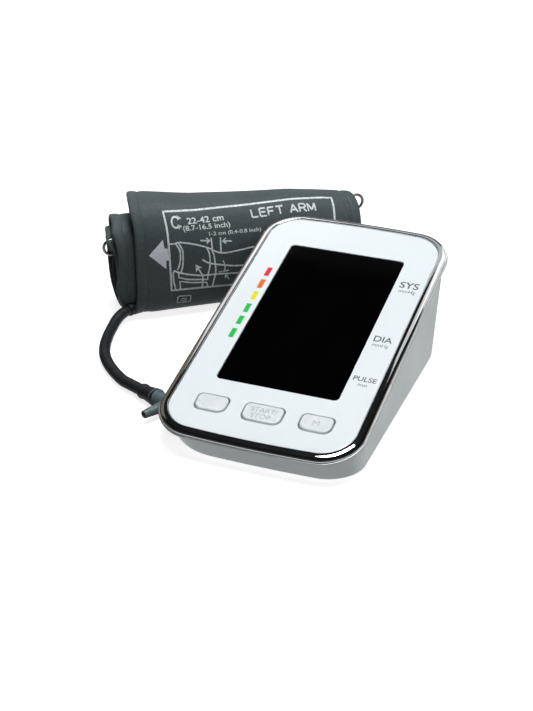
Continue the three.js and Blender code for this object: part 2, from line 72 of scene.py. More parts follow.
# ---- camera
camera_data = bpy.data.cameras.new("camera")
camera_data.lens = 72.81
camera_data.sensor_width = 36
camera_data.clip_start, camera_data.clip_end = 0.01, 60
camera = bpy.data.objects.new("camera", camera_data)
SCENE.collection.objects.link(camera)
camera.location = desk(224.15, -535.85, 373.37)
camera.rotation_euler = (desk(-11.79, 56.62, 33.69) - camera.location).to_track_quat("-Z", "Y").to_euler()
SCENE.camera = camera
SCENE.view_settings.view_transform = "Standard"


# ---- materials
class Nodes:
    """Shader nodes of one material, wired by name."""

    def __init__(self, name):
        self.material = bpy.data.materials.new(name)
        self.material.use_nodes = True
        self.tree = self.material.node_tree
        self.shader = self.tree.nodes["Principled BSDF"]
        self.where = self.node("ShaderNodeTexCoord").outputs["Object"]
        self.height = None

    def node(self, kind, **values):
        made = self.tree.nodes.new(kind)
        for key, value in values.items():
            setattr(made, key, value)
        return made

    def link(self, source, target):
        self.tree.links.new(source, target)

    def put(self, value, target):
        """Wires a socket to an input, or sets the input to a number or a colour."""
        if isinstance(value, bpy.types.NodeSocket):
            self.link(value, target)
        else:
            target.default_value = (*value, 1) if isinstance(value, tuple) else value

    def noise(self, scale, detail=3.0):
        made = self.node("ShaderNodeTexNoise")
        self.link(self.where, made.inputs["Vector"])
        for key, value in (("Scale", scale), ("Detail", detail), ("Roughness", 0.55)):
            made.inputs[key].default_value = value
        return made.outputs["Fac"]

    def spread(self, source, low, high, start=0.3, end=0.7):
        made = self.node("ShaderNodeMapRange")
        self.link(source, made.inputs["Value"])
        for key, value in (("From Min", start), ("From Max", end), ("To Min", low), ("To Max", high)):
            made.inputs[key].default_value = value
        return made.outputs["Result"]

    def blend(self, factor, first, second):
        made = self.node("ShaderNodeMix", data_type="RGBA")
        self.link(factor, made.inputs[0])
        for index, colour in ((6, first), (7, second)):
            self.put(colour, made.inputs[index])
        return made.outputs[2]

    def maths(self, operation, first, second):
        made = self.node("ShaderNodeMath", operation=operation)
        for index, value in enumerate((first, second)):
            self.put(value, made.inputs[index])
        return made.outputs[0]

    def bump(self, source, strength, distance):
        made = self.node("ShaderNodeBump")
        made.inputs["Strength"].default_value = strength
        made.inputs["Distance"].default_value = distance
        self.link(source, made.inputs["Height"])
        if self.height is not None:
            self.link(self.height, made.inputs["Normal"])
        self.height = made.outputs["Normal"]
        self.link(self.height, self.shader.inputs["Normal"])

    def set(self, **values):
        for key, value in values.items():
            self.put(value, self.shader.inputs[key.replace("_", " ")])
        return self


def surface(name, light, dark, rough, patch, grain, depth, **values):
    """A moulded, painted or plated surface: two tones in soft patches, uneven gloss and a fine grain."""
    made = Nodes(name)
    made.set(Base_Color=made.blend(made.spread(made.noise(patch), 0, 1), dark, light))
    made.set(Roughness=made.spread(made.noise(patch * 2.3, 4), *rough))
    made.bump(made.noise(grain, 2), depth, 0.00004)
    return made.set(**values).material


def silver_paint():
    """Silver paint over moulded plastic, with fine metal flake and faint wear."""
    made = Nodes("silver_case")
    flake = made.node("ShaderNodeTexVoronoi")
    made.link(made.where, flake.inputs["Vector"])
    flake.inputs["Scale"].default_value = 5200
    tone = made.blend(made.spread(made.noise(9, 2), 0, 1), (0.56, 0.585, 0.595), (0.62, 0.64, 0.645))
    tone = made.blend(made.spread(flake.outputs["Color"], 0.0, 0.22, 0.55, 1.0), tone, (0.78, 0.80, 0.81))
    made.set(Base_Color=tone, Metallic=0.7, Roughness=made.spread(made.noise(55, 4), 0.34, 0.44))
    made.bump(flake.outputs["Distance"], 0.035, 0.00006)
    made.bump(made.noise(420, 2), 0.03, 0.0001)
    return made.material


def circuit_board():
    """Green solder resist with copper tracks showing faintly through it."""
    made = Nodes("board_green")
    brick = made.node("ShaderNodeTexBrick")
    tones = {"Color1": (0.012, 0.11, 0.04), "Color2": (0.016, 0.14, 0.05), "Mortar": (0.05, 0.24, 0.08)}
    for key, value in {"Vector": made.where, "Scale": 2100, "Mortar Size": 0.06, **tones}.items():
        made.put(value, brick.inputs[key])
    tone = made.blend(made.spread(made.noise(200), 0, 0.4), brick.outputs["Color"], (0.02, 0.09, 0.035))
    made.set(Base_Color=tone, Roughness=made.spread(made.noise(300), 0.28, 0.42))
    made.bump(brick.outputs["Fac"], 0.1, 0.00005)
    return made.material


WEAVE_PITCH = 0.55
HEM = 6.0
STITCH_LENGTH = 2.6
CUFF_WIDTH = 136


def woven_cloth(name, light, dark, sheen):
    """Plain-woven nylon: crossing threads with a painted highlight on the raised ones, a stitched line beside each
    hem, dust and rubbed patches.
    """
    made = Nodes(name)
    flat = made.node("ShaderNodeUVMap", uv_map="cloth").outputs["UV"]
    apart = made.node("ShaderNodeSeparateXYZ")
    made.link(flat, apart.inputs[0])
    along, across = apart.outputs[0], apart.outputs[1]
    turn = 2 * math.pi / WEAVE_PITCH
    warp = made.maths("SINE", made.maths("MULTIPLY", along, turn), 0)
    weft = made.maths("SINE", made.maths("MULTIPLY", across, turn), 0)
    threads = made.spread(made.maths("MULTIPLY", warp, weft), 0, 1, -1, 1)
    edge = made.maths("MINIMUM", across, made.maths("SUBTRACT", CUFF_WIDTH, across))
    near = made.maths("ABSOLUTE", made.maths("SUBTRACT", edge, HEM), 0)
    line = made.maths("LESS_THAN", near, 0.32)
    dash = made.maths("LESS_THAN", made.maths("FRACT", made.maths("DIVIDE", along, STITCH_LENGTH), 0), 0.72)
    stitch = made.maths("MULTIPLY", line, dash)
    cloud = made.spread(made.noise(26, 4), 0, 1)
    tone = made.blend(cloud, dark, light)
    # Painted highlight: the raised thread cells are lightened in colour, on top of their bump
    painted_thread_highlight = tuple(min(1.0, value * 1.35) for value in light)
    sunk = tuple(value * 0.62 for value in dark)
    tone = made.blend(made.spread(threads, 0.0, 0.5), tone, painted_thread_highlight)
    tone = made.blend(made.spread(made.noise(900, 2), 0.35, 0.0, 0.35, 0.6), tone, sunk)
    tone = made.blend(stitch, tone, tuple(value * 0.75 for value in light))
    made.set(Base_Color=tone, Roughness=made.spread(made.noise(70, 4), 0.5, 0.68))
    made.set(Sheen_Weight=sheen, Sheen_Roughness=0.45, Sheen_Tint=(0.75, 0.86, 0.88), Specular_IOR_Level=0.35)
    made.bump(threads, 0.35, 0.00012)
    made.bump(made.noise(240, 4), 0.25, 0.0003)
    made.bump(made.maths("SUBTRACT", stitch, line), 0.5, 0.00025)
    return made.material


def print_ink(name, worn, full, patch, grain):
    """Pale screen print on cloth, slightly broken where the weave shows through."""
    made = Nodes(name)
    tone = made.blend(made.spread(made.noise(patch), 0, 1, 0.35, 0.62), worn, full)
    made.set(Base_Color=tone, Roughness=made.spread(made.noise(300), 0.5, 0.65))
    made.bump(made.noise(grain, 2), 0.25, 0.0001)
    return made.material


# Each row: light tone, dark tone, roughness range, scale of the patches, scale and depth of the grain.
FINISHES = {
    "white_face": ((0.86, 0.92, 0.955), (0.825, 0.895, 0.925), (0.16, 0.24), 14, 900, 0.02),
    "display_glass": ((0.0012, 0.0012, 0.0014), (0.0006, 0.0006, 0.0007), (0.05, 0.1), 40, 600, 0.01),
    "chrome_trim": ((0.86, 0.87, 0.875), (0.78, 0.79, 0.80), (0.035, 0.075), 90, 500, 0.02),
    "button_caps": ((0.82, 0.87, 0.875), (0.75, 0.80, 0.81), (0.24, 0.34), 120, 1300, 0.05),
    "connector_grey": ((0.125, 0.175, 0.19), (0.085, 0.125, 0.14), (0.36, 0.5), 220, 1800, 0.12),
    "black_rubber": ((0.016, 0.020, 0.024), (0.008, 0.010, 0.012), (0.42, 0.6), 160, 1900, 0.15),
    "steel": ((0.52, 0.51, 0.48), (0.38, 0.37, 0.35), (0.22, 0.38), 300, 1500, 0.08),
    "brass": ((0.62, 0.44, 0.18), (0.48, 0.33, 0.12), (0.2, 0.36), 300, 1500, 0.08),
    "white_plastic": ((0.72, 0.73, 0.73), (0.62, 0.63, 0.63), (0.42, 0.55), 120, 1600, 0.1),
    "chip_black": ((0.028, 0.028, 0.03), (0.016, 0.016, 0.018), (0.45, 0.62), 260, 2200, 0.15),
    "cell_wrap": ((0.07, 0.16, 0.30), (0.045, 0.11, 0.22), (0.22, 0.34), 90, 900, 0.04),
    "silicone_tube": ((0.66, 0.67, 0.63), (0.56, 0.57, 0.54), (0.38, 0.52), 150, 1400, 0.08),
    "bladder_rubber": ((0.05, 0.055, 0.062), (0.032, 0.036, 0.04), (0.5, 0.65), 120, 1500, 0.12),
    # Key letters: a darker copy of the key caps' colour, painted shade standing in for the shading of the embossed
    # letters
    "key_letters_painted_shade": ((0.56, 0.61, 0.62), (0.48, 0.53, 0.54), (0.3, 0.42), 300, 2500, 0.05),
    "face_ink": ((0.10, 0.105, 0.11), (0.07, 0.075, 0.08), (0.35, 0.5), 300, 2500, 0.05),
    "mark_red": ((0.80, 0.010, 0.030), (0.72, 0.006, 0.020), (0.3, 0.42), 400, 2500, 0.04),
    "mark_orange": ((0.88, 0.155, 0.006), (0.80, 0.125, 0.004), (0.3, 0.42), 400, 2500, 0.04),
    "mark_yellow": ((0.90, 0.78, 0.010), (0.84, 0.70, 0.008), (0.3, 0.42), 400, 2500, 0.04),
    "mark_green": ((0.006, 0.55, 0.075), (0.004, 0.47, 0.055), (0.3, 0.42), 400, 2500, 0.04),
}
GLOSS = {
    "white_face": {"Coat_Weight": 0.35, "Coat_Roughness": 0.06, "Specular_IOR_Level": 0.45},
    "display_glass": {"Specular_IOR_Level": 0.02},
    "button_caps": {"Coat_Weight": 0.25, "Coat_Roughness": 0.12},
    "chrome_trim": {"Metallic": 1.0},
    "steel": {"Metallic": 1.0},
    "brass": {"Metallic": 1.0},
    "cell_wrap": {"Metallic": 0.25},
}
MATERIALS = {name: surface(name, *row, **GLOSS.get(name, {})) for name, row in FINISHES.items()}
MATERIALS |= {
    "silver_case": silver_paint(),
    "board_green": circuit_board(),
    "cuff_fabric": woven_cloth("cuff_fabric", (0.077, 0.098, 0.100), (0.055, 0.072, 0.074), 0.12),
    "hook_tape": woven_cloth("hook_tape", (0.03, 0.03, 0.032), (0.016, 0.016, 0.018), 0.4),
    "cuff_ink": print_ink("cuff_ink", (0.56, 0.63, 0.63), (0.86, 0.93, 0.93), 700, 1600),
    "arrow_ink": print_ink("arrow_ink", (0.74, 0.78, 0.86), (0.86, 0.90, 0.97), 620, 1500),
}
for row in frame["record"]["subparts"]:
    mesh = frame["nodes"][row["node"]].data
    mesh.materials.clear()
    mesh.materials.append(MATERIALS[row["material_slot"]])


# ---- mesh helpers
def face_outwards(mesh, merge=False):
    """Turns a closed mesh's faces outwards, after joining its doubled points where merge is true."""
    work = bmesh.new()
    work.from_mesh(mesh)
    if merge:
        bmesh.ops.remove_doubles(work, verts=work.verts, dist=1e-7)
    bmesh.ops.recalc_face_normals(work, faces=work.faces)
    work.to_mesh(mesh)
    work.free()


def settle(obj, body, slot, replaces=(), sharp=32, look=None):
    """Finishes a piece: outward faces, smooth shading, its material, its body and its replaced nodes."""
    face_outwards(obj.data, True)
    obj.data.shade_smooth()
    obj.data.set_sharp_from_angle(angle=math.radians(sharp))
    obj.data.materials.append(MATERIALS[look or slot])
    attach(obj, body)
    if replaces:
        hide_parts(*replaces)
    return obj


def add_object(name, data):
    obj = bpy.data.objects.new(name, data)
    SCENE.collection.objects.link(obj)
    return obj


def new_object(name, points, faces, place):
    """A mesh from points in millimetres in the frame `place`."""
    mesh = bpy.data.meshes.new(name)
    mesh.from_pydata([place @ (Vector(point) * MM) for point in points], [], faces)
    return add_object(name, mesh)


def band_faces(rows, count, start=0, ring=True):
    """Quads between neighbouring rows of `count` points; ring joins each row's end to its start."""
    faces = []
    for row in range(rows - 1):
        low, high = start + row * count, start + (row + 1) * count
        for index in range(count if ring else count - 1):
            after = (index + 1) % count
            faces.append((low + index, low + after, high + after, high + index))
    return faces


def panel(boundaries):
    """A closed plate. Each boundary is a list of loops from the top face down to the bottom face."""
    points, faces, tops, bottoms = [], [], [], []
    for rows in boundaries:
        start, count = len(points), len(rows[0])
        for row in rows:
            points.extend(row)
        faces.extend(band_faces(len(rows), count, start))
        tops.append(list(range(start, start + count)))
        bottoms.append(list(range(start + (len(rows) - 1) * count, start + len(rows) * count)))
    for loops in (tops, bottoms):
        order = [index for loop in loops for index in loop]
        polygons = [[Vector(points[index]) for index in loop] for loop in loops]
        faces.extend(tuple(order[corner] for corner in triangle) for triangle in tessellate_polygon(polygons))
    return points, faces


def arc(centre, radius, start, end, steps=5):
    """Profile points on an ellipse, angles in degrees."""
    return [
        (
            centre[0] + radius[0] * math.cos(math.radians(start + (end - start) * step / steps)),
            centre[1] + radius[1] * math.sin(math.radians(start + (end - start) * step / steps)),
        )
        for step in range(steps + 1)
    ]


def lathe(profile, start, along, sides=48):
    """A turned shape: the profile gives (distance, radius) from start along a direction, in millimetres."""
    direction = Vector(along).normalized()
    side = direction.orthogonal().normalized()
    other = direction.cross(side)
    points = []
    for distance, radius in profile:
        middle = Vector(start) + direction * distance
        for index in range(sides):
            angle = 2 * math.pi * index / sides
            points.append(middle + (side * math.cos(angle) + other * math.sin(angle)) * radius)
    faces = band_faces(len(profile), sides)
    faces.append(tuple(range(sides)))
    faces.append(tuple(range((len(profile) - 1) * sides, len(profile) * sides)))
    return points, faces


def solid_mesh(obj):
    """The mesh that an object has once its modifiers or its letters are worked out."""
    bpy.context.view_layer.update()
    return bpy.data.meshes.new_from_object(obj.evaluated_get(bpy.context.evaluated_depsgraph_get()))


def combine(obj, cutters, operation):
    """Applies one Boolean with all the cutters, and removes them."""
    group = bpy.data.collections.new(obj.name + "_cutters")
    for cutter in cutters:
        face_outwards(cutter.data)
        group.objects.link(cutter)
    change = obj.modifiers.new("combine", "BOOLEAN")
    change.operation = operation
    change.solver = "EXACT"
    change.operand_type = "COLLECTION"
    change.collection = group
    done = solid_mesh(obj)
    obj.modifiers.clear()
    obj.data = done
    for cutter in cutters:
        bpy.data.objects.remove(cutter)
    bpy.data.collections.remove(group)


# ---- outline of the desk unit
HALF_WIDTH, HALF_LENGTH, MIDDLE, CORNER, BOW = 48.4, 85.6, 89.8, 15.2, 2
PLATE_THICKNESS = 2.2
CORNER_STEPS, END_STEPS = 14, 12


def outline(offset, corners=(CORNER,) * 4):
    """A rounded rectangle about the plate's middle, grown by offset; its short ends bow outwards."""
    half_width, half_length = HALF_WIDTH + offset, HALF_LENGTH + offset - BOW
    points = []
    for corner in range(4):
        radius = corners[corner] + offset
        x = (1 if corner in (0, 3) else -1) * (half_width - radius)
        y = (1 if corner < 2 else -1) * (half_length - radius)
        for step in range(CORNER_STEPS + 1):
            angle = (corner + step / CORNER_STEPS) * math.pi / 2
            points.append((x + radius * math.cos(angle), y + radius * math.sin(angle)))
        if corner % 2 == 0:
            for step in range(1, END_STEPS):
                points.append((x * (1 - 2 * step / END_STEPS), math.copysign(half_length, y)))
    bowed, radius = [], CORNER + offset
    for x, y in points:
        into = max(0.0, (abs(y) - (half_length - radius)) / radius)
        bowed.append((x, y + math.copysign(BOW * into * (1 - (x / half_width) ** 2), y)))
    return bowed


def face_loop(offset, height):
    return [(x, y + MIDDLE, height) for x, y in outline(offset)]


def rounded_loop(x, y, width, length, back, front, height, offset=0.0, steps=8):
    """A rounded rectangle, grown by offset, with its own corner radius at the back and at the front."""
    half_width, half_length = width / 2 + offset, length / 2 + offset
    points = []
    for corner in range(4):
        radius = max(0.05, (back if corner < 2 else front) + offset)
        cx = x + (1 if corner in (0, 3) else -1) * (half_width - radius)
        cy = y + (1 if corner < 2 else -1) * (half_length - radius)
        for step in range(steps + 1):
            angle = (corner + step / steps) * math.pi / 2
            points.append((cx + radius * math.cos(angle), cy + radius * math.sin(angle), height))
    return points


# ---- desk unit: face, ring and upper case
LCD = (0, 96.2, 64.9, 111.3, 2.5, 2.5)
KEYS = {
    "set_button": (-27.2, 23.1, 16.6, 11, 3, 4.6),
    "start_stop_button": (0, 22.6, 20.4, 11.8, 3, 4.6),
    "memory_button": (27.4, 23.1, 16.6, 11, 3, 4.6),
}
KEY_BODIES = {"set_button": "set_key", "start_stop_button": "start_stop_key", "memory_button": "memory_key"}
PLATE_HOLE, CASE_HOLE = 0.9, 0.8
CASE_UNDER, CASE_CEILING = -2.5, -4.2


def edge_profile(radius, top, bottom, outwards):
    """(offset, height) rows down a plate's rounded edge; outwards is 1 for its rim and -1 for a hole."""
    rows = [(-radius - 0.3, top), *arc((-radius, top - radius), (radius, radius), 90, 0, 4)]
    rows += [(0, bottom), (-0.3, bottom)]
    return [(outwards * offset, height) for offset, height in rows]


def key_hole(key, wider, height, offset=0.0):
    x, y, width, length, back, front = key
    return rounded_loop(x, y, width + wider, length + wider, back, front, height, offset)


def face_plate():
    rim = [face_loop(*spot) for spot in edge_profile(0.5, 0, -PLATE_THICKNESS, 1)]
    edge = edge_profile(0.3, 0, -PLATE_THICKNESS, -1)
    holes = [[key_hole(key, PLATE_HOLE, height, offset) for offset, height in edge] for key in KEYS.values()]
    edge = edge_profile(0.25, 0, -PLATE_THICKNESS, -1)
    window = [rounded_loop(*LCD, height, offset) for offset, height in edge]
    made = new_object("face_plate_moulded", *panel([rim, *holes, window]), FACE_PLACE)
    settle(made, "desk_unit", "white_face", ["face_plate"])


def display_window():
    edge = edge_profile(0.3, -0.15, -PLATE_THICKNESS, 1)
    rows = [rounded_loop(*LCD, height, offset - 0.3) for offset, height in edge]
    made = new_object("display_window", *panel([rows]), FACE_PLACE)
    settle(made, "desk_unit", "display_glass", ["lcd_window"])


def chrome_ring():
    """The plated trim: a full rounded shoulder outside, a small lip against the plate inside."""
    section = [
        *arc((0.6, 0.0), (0.3, 0.3), 180, 90, 4),
        *arc((1.2, -2.0), (3.4, 2.3), 90, 0, 14),
        *arc((4.4, -2.0), (0.2, 0.2), 0, -90, 2),
        *arc((0.6, -1.9), (0.3, 0.3), -90, -180, 2),
    ]
    rows = [face_loop(*spot) for spot in section]
    count = len(rows[0])
    points = [point for row in rows for point in row]
    faces = band_faces(len(rows), count)
    last = (len(rows) - 1) * count
    faces += [(last + i, last + (i + 1) % count, (i + 1) % count, i) for i in range(count)]
    made = new_object("trim_ring_plated", points, faces, FACE_PLACE)
    settle(made, "desk_unit", "chrome_trim", ["trim_ring"], 50)


def upper_case():
    section = [
        (-0.9, CASE_UNDER), (4.4, CASE_UNDER),
        *arc((4.8, -2.85), (0.4, 0.35), 90, 0, 4),
        *arc((5.0, -3.2), (0.2, 0.2), 0, -90, 3),
        (-0.3, -3.4), (-0.3, -5.2), (-2.3, -5.2), (-2.3, CASE_CEILING), (-2.6, CASE_CEILING),
    ]
    rim = [face_loop(*spot) for spot in section]
    levels = (CASE_UNDER, CASE_CEILING)
    holes = [[key_hole(key, CASE_HOLE, height) for height in levels] for key in KEYS.values()]
    window = [rounded_loop(*LCD, height, -2) for height in levels]
    made = new_object("upper_case_moulded", *panel([rim, *holes, window]), FACE_PLACE)
    settle(made, "desk_unit", "silver_case", ["upper_case"])


def key_cap(name, key):
    """A key: dished top with a raised rim, the collar that holds it behind the plate, and its stem."""
    section = [
        (-2.2, 0.38), (-1.7, 0.4), (-1.4, 0.46), (-1.2, 0.5),
        *arc((-1.1, -0.25), (0.75, 0.75), 90, 0, 6),
        (-0.35, -4.9), (1.2, -4.9), (1.2, -6),
    ]
    rows = [rounded_loop(*key, height, offset) for offset, height in section]
    rows += [rounded_loop(*key[:2], 4, 4, 2, 2, height) for height in (-6, -9.1)]
    made = new_object(name.replace("_button", "_key_cap"), *panel([rows]), FACE_PLACE)
    settle(made, KEY_BODIES[name], "button_caps", [name])


face_plate()
display_window()
chrome_ring()
upper_case()
for key_name, key_shape in KEYS.items():
    key_cap(key_name, key_shape)


# ---- desk unit: lower case
CASE_TOP, CASE_TOP_OFFSET, CASE_BOTTOM = -3.7, 4.4, 0.8
BASE_HALF_WIDTH, BASE_FRONT, BASE_BACK = 50.6, 5.6, 169.8
CASE_CORNERS, FRONT_SHIFT, BACK_SHIFT = (24, 24, 24.5, 15.2), 1.7, -0.5
FACE_LOCAL = Matrix.Translation(Vector((0, 0, FACE_HEIGHT))) @ FACE_TURN


def wall_ends(x, y, top_offset, top_height, base_inset, base_height, inset):
    """The two ends of a wall line: on the low outline, and on the outline in the sloping plane."""
    half_width, half_length = HALF_WIDTH + top_offset, HALF_LENGTH + top_offset
    width = (BASE_HALF_WIDTH - base_inset - inset) / half_width
    length = ((BASE_BACK - BASE_FRONT) / 2 - base_inset - inset) / half_length
    shift = FRONT_SHIFT + (BACK_SHIFT - FRONT_SHIFT) * (y / half_length + 1) / 2
    low = Vector((x * width + shift, (BASE_BACK + BASE_FRONT) / 2 + y * length, base_height))
    high = Vector((x * (1 - inset / half_width), MIDDLE + y * (1 - inset / half_length), top_height))
    return low, FACE_LOCAL @ high


def tub(rows, *shape):
    """A closed tub. Each row is (inset, height above the base in mm, share of the wall's height added)."""
    boundary = []
    for inset, height, share in rows:
        row = []
        for x, y in outline(shape[0], CASE_CORNERS):
            base, top = wall_ends(x, y, *shape, 0)
            low, high = wall_ends(x, y, *shape, inset)
            row.append(tuple(low.lerp(high, height / (top.z - base.z) + share)))
        boundary.append(row)
    return panel([boundary])


def block(x0, x1, y0, y1, z0, z1):
    points = [(x, y, z) for z in (z0, z1) for y in (y0, y1) for x in (x0, x1)]
    faces = [(0, 1, 3, 2), (4, 5, 7, 6), (0, 1, 5, 4), (2, 3, 7, 6), (0, 2, 6, 4), (1, 3, 7, 5)]
    return new_object("block", points, faces, DESK_PLACE)


def turned_shape(name, profile, start, towards, sides=48):
    """A turned object, its profile measured from start towards another point."""
    return new_object(name, *lathe(profile, start, Vector(towards) - Vector(start), sides), DESK_PLACE)


def peg(start, end, radius):
    length = (Vector(end) - Vector(start)).length
    return turned_shape("peg", [(0, radius), (length, radius)], start, end, 40)


def pegs(places, low, high, radius):
    return [peg((x, y, low), (x, y, high), radius) for x, y in places]


FEET = [(-38, 22), (38, 22), (-40, 158), (40, 158)]
SCREWS = [(-41, 47), (41, 47), (-41, 122), (41, 122)]
BAY_OUTSIDE, BAY_INSIDE = (-32.4, 32.4, 109.2, 168.4, 2.8, 20.4), (-30.6, 30.6, 111, 166.6, 0, 18.6)
DOOR_OPENING = (-33, 33, 109.6, 180, 0, 3)
WALL, FLOOR_TOP, LOW_ROUND, TOP_ROUND = 2.2, 3.8, 1.8, 0.45
FOOT_RECESS, BOSS, SCREW_HEAD, SCREW_SHANK, SOCKET_HOLE = 5.3, 4, 2.9, 1.7, 5.8


def lower_case():
    low_round = arc((0, 0), (LOW_ROUND, LOW_ROUND), 90, 0, 6)
    top_round = arc((0, 0), (TOP_ROUND, TOP_ROUND), 0, 90, 3)
    rows = [(WALL, 0, 0), *[(LOW_ROUND - x, LOW_ROUND - y, 0) for x, y in low_round]]
    rows += [(0, 1.5, 0.2), (0, 1.1, 0.45), (0, 0.6, 0.7), (0, -0.5, 1)]
    rows += [(TOP_ROUND - x, y - TOP_ROUND, 1) for x, y in top_round]
    rows.append((2 * TOP_ROUND, 0, 1))
    shell = tub(rows, CASE_TOP_OFFSET, CASE_TOP, 0, CASE_BOTTOM)
    made = new_object("lower_case_moulded", *shell, DESK_PLACE)
    face_outwards(made.data)
    hollow_rows = [(0.5, 0, 0), (0, 0, 0), (0, 0, 1), (0.5, 0, 1)]
    hollow = tub(hollow_rows, CASE_TOP_OFFSET - WALL, 1, WALL, FLOOR_TOP)
    combine(made, [new_object("hollow", *hollow, DESK_PLACE)], "DIFFERENCE")
    combine(made, [block(*BAY_OUTSIDE), *pegs(SCREWS, 2.8, 11.5, BOSS)], "UNION")
    cutters = [block(*BAY_INSIDE), block(*DOOR_OPENING), *pegs(FEET, 0, 2.3, FOOT_RECESS)]
    cutters += [*pegs(SCREWS, 0, 3.6, SCREW_HEAD), peg((-60, 70, 15), (-42, 70, 15), SOCKET_HOLE)]
    combine(made, cutters, "DIFFERENCE")
    combine(made, pegs(SCREWS, 3, 12.4, SCREW_SHANK), "DIFFERENCE")
    settle(made, "desk_unit", "silver_case", ["lower_case"], 28)


def air_socket():
    """The socket on the left wall: a chamfered mouth, a stepped bore and a nipple inside."""
    profile = [(13, 0.02), (13, 3.1), (0.5, 3.1), (0, 3.7), (0, 4.9), (0.6, 5.5)]
    profile += [(13, 5.5), (13, 1.8), (16.5, 1.8), (16.5, 0.02)]
    made = turned_shape("air_socket_moulded", profile, (-57, 70, 15), (-56, 70, 15))
    settle(made, "desk_unit", "connector_grey", ["air_socket"])


lower_case()
air_socket()

FINE_BEVELS = {
    0.25: ("battery_door", "main_board", "lcd_module", "microcontroller", "valve_body", "air_manifold"),
    0.4: ("foot_1", "foot_2", "foot_3", "foot_4"),
}
for width, nodes in FINE_BEVELS.items():
    for node in nodes:
        change = frame["nodes"][node].modifiers.new("bevel", "BEVEL")
        change.width, change.segments = width * MM, 2
        change.limit_method, change.angle_limit = "ANGLE", math.radians(40)


# ---- rolled cuff: one long sheet, wound up
THICK, TALL, POWER = (21.4, 17.6), (35.6, 29.3), (2.9, 2.2)
PLY = 1.65
FREE_EDGE = math.radians(-35)
TURNS = 3.51
TURN_STEPS = 84
INSET_ACROSS = [0, 5.4, 8.6, 14.4, 18.2]
INSET_TALL = [0, 8, 13, 17, 24]
SAG = [0, 4.5, 6, 5, 4]
TOP_LIFT_AT, TOP_LIFT = [-12, 0, 18, 36, 60, 95, 118, 136], [1.0, 1.0, 0.3, -0.5, 0.1, 1.7, 1.1, 0.5]
SHIFT_AT = [
    0, 0.66, 0.80, 1.0, 1.2, 1.37, 1.46, 1.53, 1.58, 1.64, 1.69,
    1.79, 2.0, 2.3, 2.42, 2.5, 2.54, 2.6, 2.8, 3.0, 3.6,
]
SHIFT_BY = [
    0, 0, -1.5, -6, -9, -10.2, -11.6, -9.6, -9.2, -11.4, -9.4,
    -7.2, -10, -12.5, -14.3, -13.8, -10.6, -9.8, -9.2, -9.4, -9.4,
]
LEAN_AT, LEAN_LEFT = [0, 0.2, 0.3, 0.37, 0.44, 0.52], [7, 5, 1.5, -0.7, -1.2, 0]
LEAN_RIGHT = [-3, -3, -2, -1, 0, 0]
EDGE_STOPS = [0, 0.15, 0.4, 0.8, 1.4, 2.2, 3.2, 4.2, 5.0, 5.6, 6.0, 6.4, 7.0, 7.8, 8.8, 10, 12, 14.5, 17.5]
EDGE_AT = [0, 0.15, 0.4, 0.8, 1.4, 2.6, 4.2, 5.2, 6.0, 6.9, 8.2, 10, 14, 20]
OUTER_DEPTH = [0.2, 0.7, 1.05, 1.25, 1.4, 1.5, 1.48, 1.36, 1.02, 1.3, 1.5, 1.6, 1.64, PLY]
INNER_DEPTH = [0.12, 0.42, 0.68, 0.88, 1.02, 1.12, 1.08, 0.9, 0.62, 0.95, 1.3, 1.5, 1.62, PLY]
# Each crease: place across the cuff, lean, width and depth.
CREASES = [(119.6, 2.2, 1.4, 1.25), (124.4, 1.4, 1.2, 1.6), (128.3, 0.6, 1.0, 1.2), (9.8, -0.6, 1.6, 0.7)]


def smooth(value):
    value = np.clip(value, 0, 1)
    return value * value * (3 - 2 * value)


def stepped(table, turn):
    """Each turn keeps its own value, and slips to the next turn's along the bottom and up the back."""
    table = np.array(table, float)
    whole = np.clip(np.floor(turn).astype(int), 0, len(table) - 2)
    return table[whole] + (table[whole + 1] - table[whole]) * smooth((turn - whole - 0.78) / 0.22)


def wander(a, b, seed):
    """Gentle seeded noise from -1 to 1 on two coordinates."""
    flat_a, flat_b = np.broadcast_arrays(a, b)
    values = [noise.noise(Vector((x, y, seed))) for x, y in zip(flat_a.ravel(), flat_b.ravel())]
    return np.array(values).reshape(flat_a.shape)


def roll_middle(turn, across):
    """The sheet's middle surface in the cuff's own frame, by turn from the free edge and place across."""
    share = across / CUFF_WIDTH
    lean = np.interp(turn, LEAN_AT, LEAN_LEFT) * (1 - share) + np.interp(turn, LEAN_AT, LEAN_RIGHT) * share
    s = across + (np.interp(turn, SHIFT_AT, SHIFT_BY) + lean)
    share = np.clip(s / CUFF_WIDTH, -0.12, 1.05)
    thick = THICK[0] + (THICK[1] - THICK[0]) * share
    tall = TALL[0] + (TALL[1] - TALL[0]) * share
    half_across = thick - PLY - stepped(INSET_ACROSS, turn) * (thick - 3.2) / (THICK[0] - 3.2)
    half_tall = tall - PLY - stepped(INSET_TALL, turn) * (tall - 11) / (TALL[0] - 11)
    angle = FREE_EDGE + turn * 2 * math.pi
    cosine, sine = np.cos(angle), np.sin(angle)
    power = 2 / (POWER[0] + (POWER[1] - POWER[0]) * share)
    b = half_across * np.sign(cosine) * np.abs(cosine) ** power
    z = tall - stepped(SAG, turn) + half_tall * np.sign(sine) * np.abs(sine) ** power
    z += np.interp(s, TOP_LIFT_AT, TOP_LIFT) * np.clip(sine, 0, 1) * np.clip(1.6 - turn, 0, 1)
    return np.stack([s, b, z], -1)


